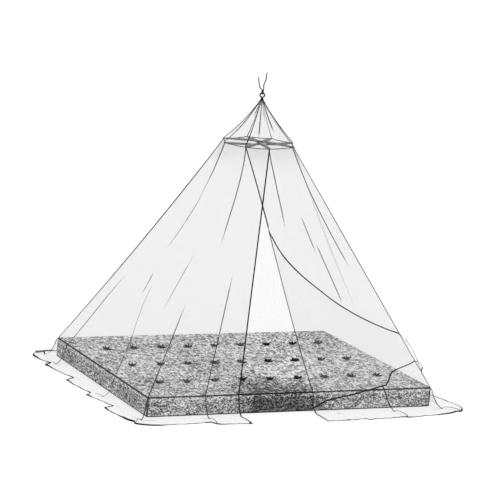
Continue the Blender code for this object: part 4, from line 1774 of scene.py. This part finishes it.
@dataclass
class Mattress:
    """The mattress: a ticking cover with piped edges, dimpled at its stitched tufts."""

    kit: Kit
    box: tuple[Vector, Vector] = field(default_factory=lambda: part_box("mattress"))
    rounding: float = 0.012
    piping_radius: float = 0.0080
    piping_proud: float = 0.0012  # how far it stands out of the edge's rounding
    groove: float = 0.0055
    groove_spread: float = 20.0  # degrees of the edge's rounding
    corner_steps: int = 6  # points of the piping round a corner, along a side and up a corner
    side_steps: int = 60
    rise_steps: int = 12
    edge_ticks: tuple[float, ...] = (  # where the cover's points lie in from an edge
        0.0, 0.0012, 0.0025, 0.0038, 0.005, 0.0062, 0.0075, 0.0088, 0.010, 0.012,
    )
    tuft_tick: float = 0.0065  # between the points at a tuft, of which so many lie on each side
    tuft_ticks: int = 6
    tick_gap: float = 0.0125  # of the other points, which are tried at each step
    tick_step: float = 0.004
    pucker: float = 0.0012  # how far its sides draw in
    waviness: float = 0.0008
    dimple_folds: float = 0.22  # how deep the folds of a dimple are, as a share
    dimple_depth: float = 0.006
    dimple_radius: float = 0.030
    tuft_columns: int = 9
    tuft_rows: int = 3
    tuft_pitch: float = 0.195
    row_pitch: float = 0.45
    star_arms: int = 8
    star_radius: float = 0.037
    button_radius: float = 0.0165
    button_height: float = 1.1  # share of its radius
    arm_radius: float = 0.0125
    arm_taper: float = 0.76
    arm_rise: tuple[float, float] = (0.005, 0.025)  # how far the ends of the arms stand up, in turn
    arm_steps: int = 6
    arm_lift: float = 0.0018  # of an arm over the dimple

    def __post_init__(self) -> None:
        """Work out the tufts' places."""
        half = (self.tuft_columns - 1) / 2
        middle = (self.tuft_rows - 1) / 2
        self.tufts = [((column - half) * self.tuft_pitch, (row - middle) * self.row_pitch)
                      for column in range(self.tuft_columns) for row in range(self.tuft_rows)]

    def ticks(self, low: float, high: float, stops: Sequence[float]) -> list[float]:
        """Where the cover's points lie along one side: closer at its edges and its tufts.

        Args:
            low: Where the side starts.
            high: Where it ends.
            stops: Where the tufts are on it.

        Returns:
            The places, rising.
        """
        marks = {round(end, 5) for edge in self.edge_ticks for end in (low + edge, high - edge)}
        for stop in stops:
            marks |= {round(stop + number * self.tuft_tick, 5)
                      for number in range(-self.tuft_ticks, self.tuft_ticks + 1)}
        place = low + self.rounding
        while place < high - self.rounding:
            if all(abs(place - mark) > self.tick_gap for mark in marks):
                marks.add(round(place, 5))
            place += self.tick_step
        return sorted(marks)

    def shaped(self, x: float, y: float, z: float) -> Vector:
        """Point of the cover.

        Args:
            x: Place of a point on the plain block, across.
            y: Back.
            z: Up.

        Returns:
            That point on the rounded, dimpled cover.
        """
        low, high = self.box
        core = Vector([min(max(value, start + self.rounding), end - self.rounding)
                       for value, start, end in zip((x, y, z), low, high)])
        away = Vector((x, y, z)) - core
        if away.length > 1e-9:
            way = away.normalized()
            sizes = sorted((abs(part) for part in way), reverse=True)
            seam = exp(-((degrees(atan2(sizes[1], sizes[0])) - 45) / self.groove_spread) ** 2)
            point = core + way * (self.rounding - self.groove * seam)
        else:
            point = core
        if z > high.z - 1e-6 and abs(away.x) < 1e-6 and abs(away.y) < 1e-6:
            point.z -= self.sag(x, y)
        elif low.z + self.rounding < z < high.z - self.rounding:
            rise = arch((z - low.z) / (high.z - low.z))
            pucker = self.pucker * rise * (1 + 0.6 * sin(x * 37) * sin(y * 41 + 1))
            out = Vector((copysign(1, away.x) if abs(away.x) > 1e-6 else 0,
                          copysign(1, away.y) if abs(away.y) > 1e-6 else 0, 0))
            point -= out * pucker
        return point

    def sag(self, x: float, y: float) -> float:
        """How far the cover's top lies under its highest level.

        Args:
            x: The place, across.
            y: Back.

        Returns:
            The depth.
        """
        depth = self.waviness * (1 + sin(x * 9.1 + 0.5) * sin(y * 11.3))
        for across, back in self.tufts:
            away = hypot(x - across, y - back)
            if away < 4 * self.dimple_radius:
                folds = cos(self.star_arms * atan2(y - back, x - across)) * smooth_step(0.0, 0.012, away)
                folds = 1 + self.dimple_folds * folds
                depth += self.dimple_depth * exp(-(away / self.dimple_radius) ** 1.5) * folds
        return depth

    def cover(self, finish: Material) -> None:
        """Build the cover.

        Args:
            finish: The ticking.
        """
        low, high = self.box
        columns = sorted({across for across, _ in self.tufts})
        rows = sorted({back for _, back in self.tufts})
        sets = (self.ticks(low.x, high.x, columns), self.ticks(low.y, high.y, rows),
                self.ticks(low.z, high.z, ()))
        bm = bmesh.new()
        verts: dict[tuple[int, int, int], bmesh.types.BMVert] = {}

        def vert(spot: tuple[int, int, int]) -> bmesh.types.BMVert:
            """The cover's point at three places of the sets, made once."""
            if spot not in verts:
                verts[spot] = bm.verts.new(self.shaped(*(marks[i] for marks, i in zip(sets, spot))))
            return verts[spot]

        for axis in range(3):
            one, two = (axis + 1) % 3, (axis + 2) % 3
            for end in (0, len(sets[axis]) - 1):
                for i in range(len(sets[one]) - 1):
                    for j in range(len(sets[two]) - 1):
                        corners = []
                        for di, dj in ((0, 0), (1, 0), (1, 1), (0, 1)):
                            spot = [0, 0, 0]
                            spot[axis], spot[one], spot[two] = end, i + di, j + dj
                            corners.append(vert(tuple(spot)))
                        bm.faces.new(corners if end else corners[::-1])
        mesh = bpy.data.meshes.new("mattress_cover")
        bm.to_mesh(mesh)
        bm.free()
        cover = self.kit.add("mattress_cover", mesh, finish)
        self.kit.smooth(cover)
        self.kit.ready(cover, Slot.TICKING, "mattress")

    def piping(self, finish: Material) -> None:
        """Build the cord sewn in along the top and bottom edges and up the corners.

        Args:
            finish: Its material.
        """
        low, high = self.box
        wide, deep = high.x - self.rounding, high.y - self.rounding
        reach = (self.rounding + self.piping_proud - self.piping_radius) * sqrt(0.5)
        inset = self.rounding - reach
        section = round_section(self.piping_radius, 12, 2, 0.012, 0.06)
        ways = ((-1, -1), (-1, 1), (1, 1), (1, -1))
        for name, level in (("top", high.z - inset), ("bottom", low.z + inset)):
            path = []
            for number, (across, back) in enumerate(ways):
                corner, following = (Vector((x * wide, y * deep, level))
                                     for x, y in (ways[number], ways[(number + 1) % len(ways)]))
                start = atan2(back, across) + pi / 4
                for step in range(self.corner_steps + 1):
                    turn = start - pi / 2 * step / self.corner_steps
                    path.append(corner + Vector((cos(turn), sin(turn), 0)) * reach)
                after = path[-1]
                path += [after + (following - corner) * (step / self.side_steps)
                         for step in range(1, self.side_steps)]
            piece = self.kit.sweep(f"mattress_piping_{name}", path, section, finish, closed=True,
                                   upright=True)
            self.kit.ready(piece, Slot.TICKING)
        rise = high.z - low.z - 2 * inset
        for number, (across, back) in enumerate(ways):
            foot = Vector((across * (high.x - inset), back * (high.y - inset), low.z + inset))
            path = [foot + Vector((0, 0, rise * step / self.rise_steps))
                    for step in range(self.rise_steps + 1)]
            piece = self.kit.sweep(f"mattress_corner_{number + 1}", path, section, finish)
            self.kit.ready(piece, Slot.TICKING)

    def stars(self, finish: Material) -> None:
        """Model the tufts' stitches: one star of thread, copied to each tuft.

        Args:
            finish: Its material.
        """
        bpy.ops.mesh.primitive_uv_sphere_add(segments=10, ring_count=6, radius=self.button_radius)
        star = bpy.context.object
        with self.kit.editing(star):
            bpy.ops.transform.resize(value=(1, 1, self.button_height))
        arms = [self.arm(number, finish) for number in range(self.star_arms)]
        self.kit.smooth(star)
        star = self.kit.join([star, *arms], "star")
        self.kit.dress(star, "star", finish)
        places = [Matrix.Translation((across, back, self.box[1].z - self.sag(across, back)))
                  @ Matrix.Rotation(0.7 * sin(2.3 * number), 4, 'Z')
                  for number, (across, back) in enumerate(self.tufts)]
        self.kit.ready(self.kit.repeat(star, places, "mattress_tufts"), Slot.TICKING)

    def arm(self, number: int, finish: Material) -> Piece:
        """One arm of a star, pointed, that leaves the middle of its dimple.

        Args:
            number: The arm's number, from 0.
            finish: Its material.

        Returns:
            The arm.
        """
        turn = tau * (number + 0.18 * sin(5 * number)) / self.star_arms
        reach = self.star_radius * (0.82 + 0.18 * sin(3.7 * number + 1))
        path = []
        for step in range(self.arm_steps + 1):
            share = step / self.arm_steps
            away = reach * share
            lift = self.dimple_depth * (1 - exp(-(away / self.dimple_radius) ** 1.5)) + self.arm_lift
            lift += self.arm_rise[number % 2] * share ** 1.4
            path.append(Vector((away * cos(turn), away * sin(turn), lift)))

        def section(gone: float) -> Points:
            """The arm's section, thinner towards its end."""
            size = self.arm_radius * (1 - self.arm_taper * gone / reach)
            return [(size * cos(tau * n / 6), 0.8 * size * sin(tau * n / 6))
                    for n in range(6)]
        return self.kit.sweep(f"arm_{number}", path, section, finish)

    def build(self, ticking: Material, piping: Material,
              thread: Material) -> None:
        """Build the cover, its piping and its tufts.

        Args:
            ticking: The cover's material.
            piping: The piping's.
            thread: The tufts'.
        """
        self.cover(ticking)
        self.piping(piping)
        self.stars(thread)


@dataclass
class Studio:
    """The camera at the photograph's angle, the pale floor and the soft light."""

    target: Vector = field(default_factory=lambda: Vector((0, 0, 0.9)))
    turn: float = radians(-25.33)
    lift: float = radians(11)
    roll: float = radians(4.5)
    distance: float = 18.0
    lens: float = 197.5
    scale: float = 152.4  # pixels of the 500 x 500 frame in a metre
    shift_right: float = 0.3  # pixels
    shift_down: float = 2.1

    def camera(self) -> None:
        """Aim the camera."""
        back = Vector((sin(self.turn) * cos(self.lift), -cos(self.turn) * cos(self.lift),
                       sin(self.lift)))
        right = Vector((cos(self.turn), sin(self.turn), 0))
        up = back.cross(right)
        rolled = right * cos(self.roll) + up * sin(self.roll)
        upright = up * cos(self.roll) - right * sin(self.roll)
        aim = self.target - (rolled * self.shift_right + upright * self.shift_down) / self.scale
        data = bpy.data.cameras.new("Camera")
        data.lens = self.lens
        data.sensor_width = 36
        data.clip_end = 200
        camera = bpy.data.objects.new("Camera", data)
        bpy.context.scene.collection.objects.link(camera)
        turned = Matrix((rolled, upright, back)).transposed().to_4x4()
        camera.matrix_world = Matrix.Translation(aim + back * self.distance) @ turned
        bpy.context.scene.camera = camera

    def floor(self) -> None:
        """Lay the floor."""
        bpy.ops.mesh.primitive_plane_add(size=80, location=(0, 0, -0.0005))
        plane = bpy.context.object
        plane.name = "floor"
        paper = Finish("Paper")
        plane.data.materials.append(paper.dress(Base_Color=grey(0.34), Roughness=1.0, Specular_IOR_Level=0.0,
                                                Emission_Color=grey(1.0), Emission_Strength=0.68))

    def light(self) -> None:
        """Set a bright even sky and one large soft lamp from the left."""
        world = bpy.data.worlds.new("Sky")
        bpy.context.scene.world = world
        world.use_nodes = True
        ground = world.node_tree.nodes["Background"]
        ground.inputs["Color"].default_value = grey(0.985)
        ground.inputs["Strength"].default_value = 1.0
        data = bpy.data.lights.new("Lamp", 'SUN')
        data.energy = 0.9
        data.angle = radians(50)
        lamp = bpy.data.objects.new("Lamp", data)
        lamp.rotation_euler = (radians(38), radians(-24), 0)
        bpy.context.scene.collection.objects.link(lamp)
        bpy.context.scene.view_settings.view_transform = 'Standard'
        bpy.context.scene.cycles.transparent_max_bounces = 48

    def build(self) -> None:
        """Set up the studio."""
        self.camera()
        self.floor()
        self.light()


def main() -> None:
    """Build every piece of the canopy and report it."""
    logging.basicConfig(level=logging.INFO, format="%(name)s: %(message)s")
    kit = Kit()
    Studio().build()
    net = NetFinish().make()
    tape = ThreadFinish("Grey tape", 0.04, 0.10).make()
    thread = ThreadFinish("Black thread", 0.004, 0.012).make()
    steel = SteelFinish().make()
    Hanger(kit).build(steel, ThreadFinish("Dark cord", 0.004, 0.014).make())
    wall = Wall(kit=kit)
    wall_cloth = wall.build(net)
    kit.ready(wall_cloth, Slot.NET, "wall_net")
    crown_cloth = Crown(kit=kit, wall=wall).build(net)
    kit.ready(crown_cloth, Slot.NET, "crown_net")
    trim = Rim(kit, wall).build(tape, thread)
    Spreader(kit, wall).build(SlatFinish().make(), steel)
    Mattress(kit).build(TickingFinish("Ticking", 0.86, 0.016).make(),
                        ThreadFinish("Piping", 0.004, 0.012).make(), thread)
    log.info("%d pieces", len(kit.made))


if __name__ == "__main__":
    main()
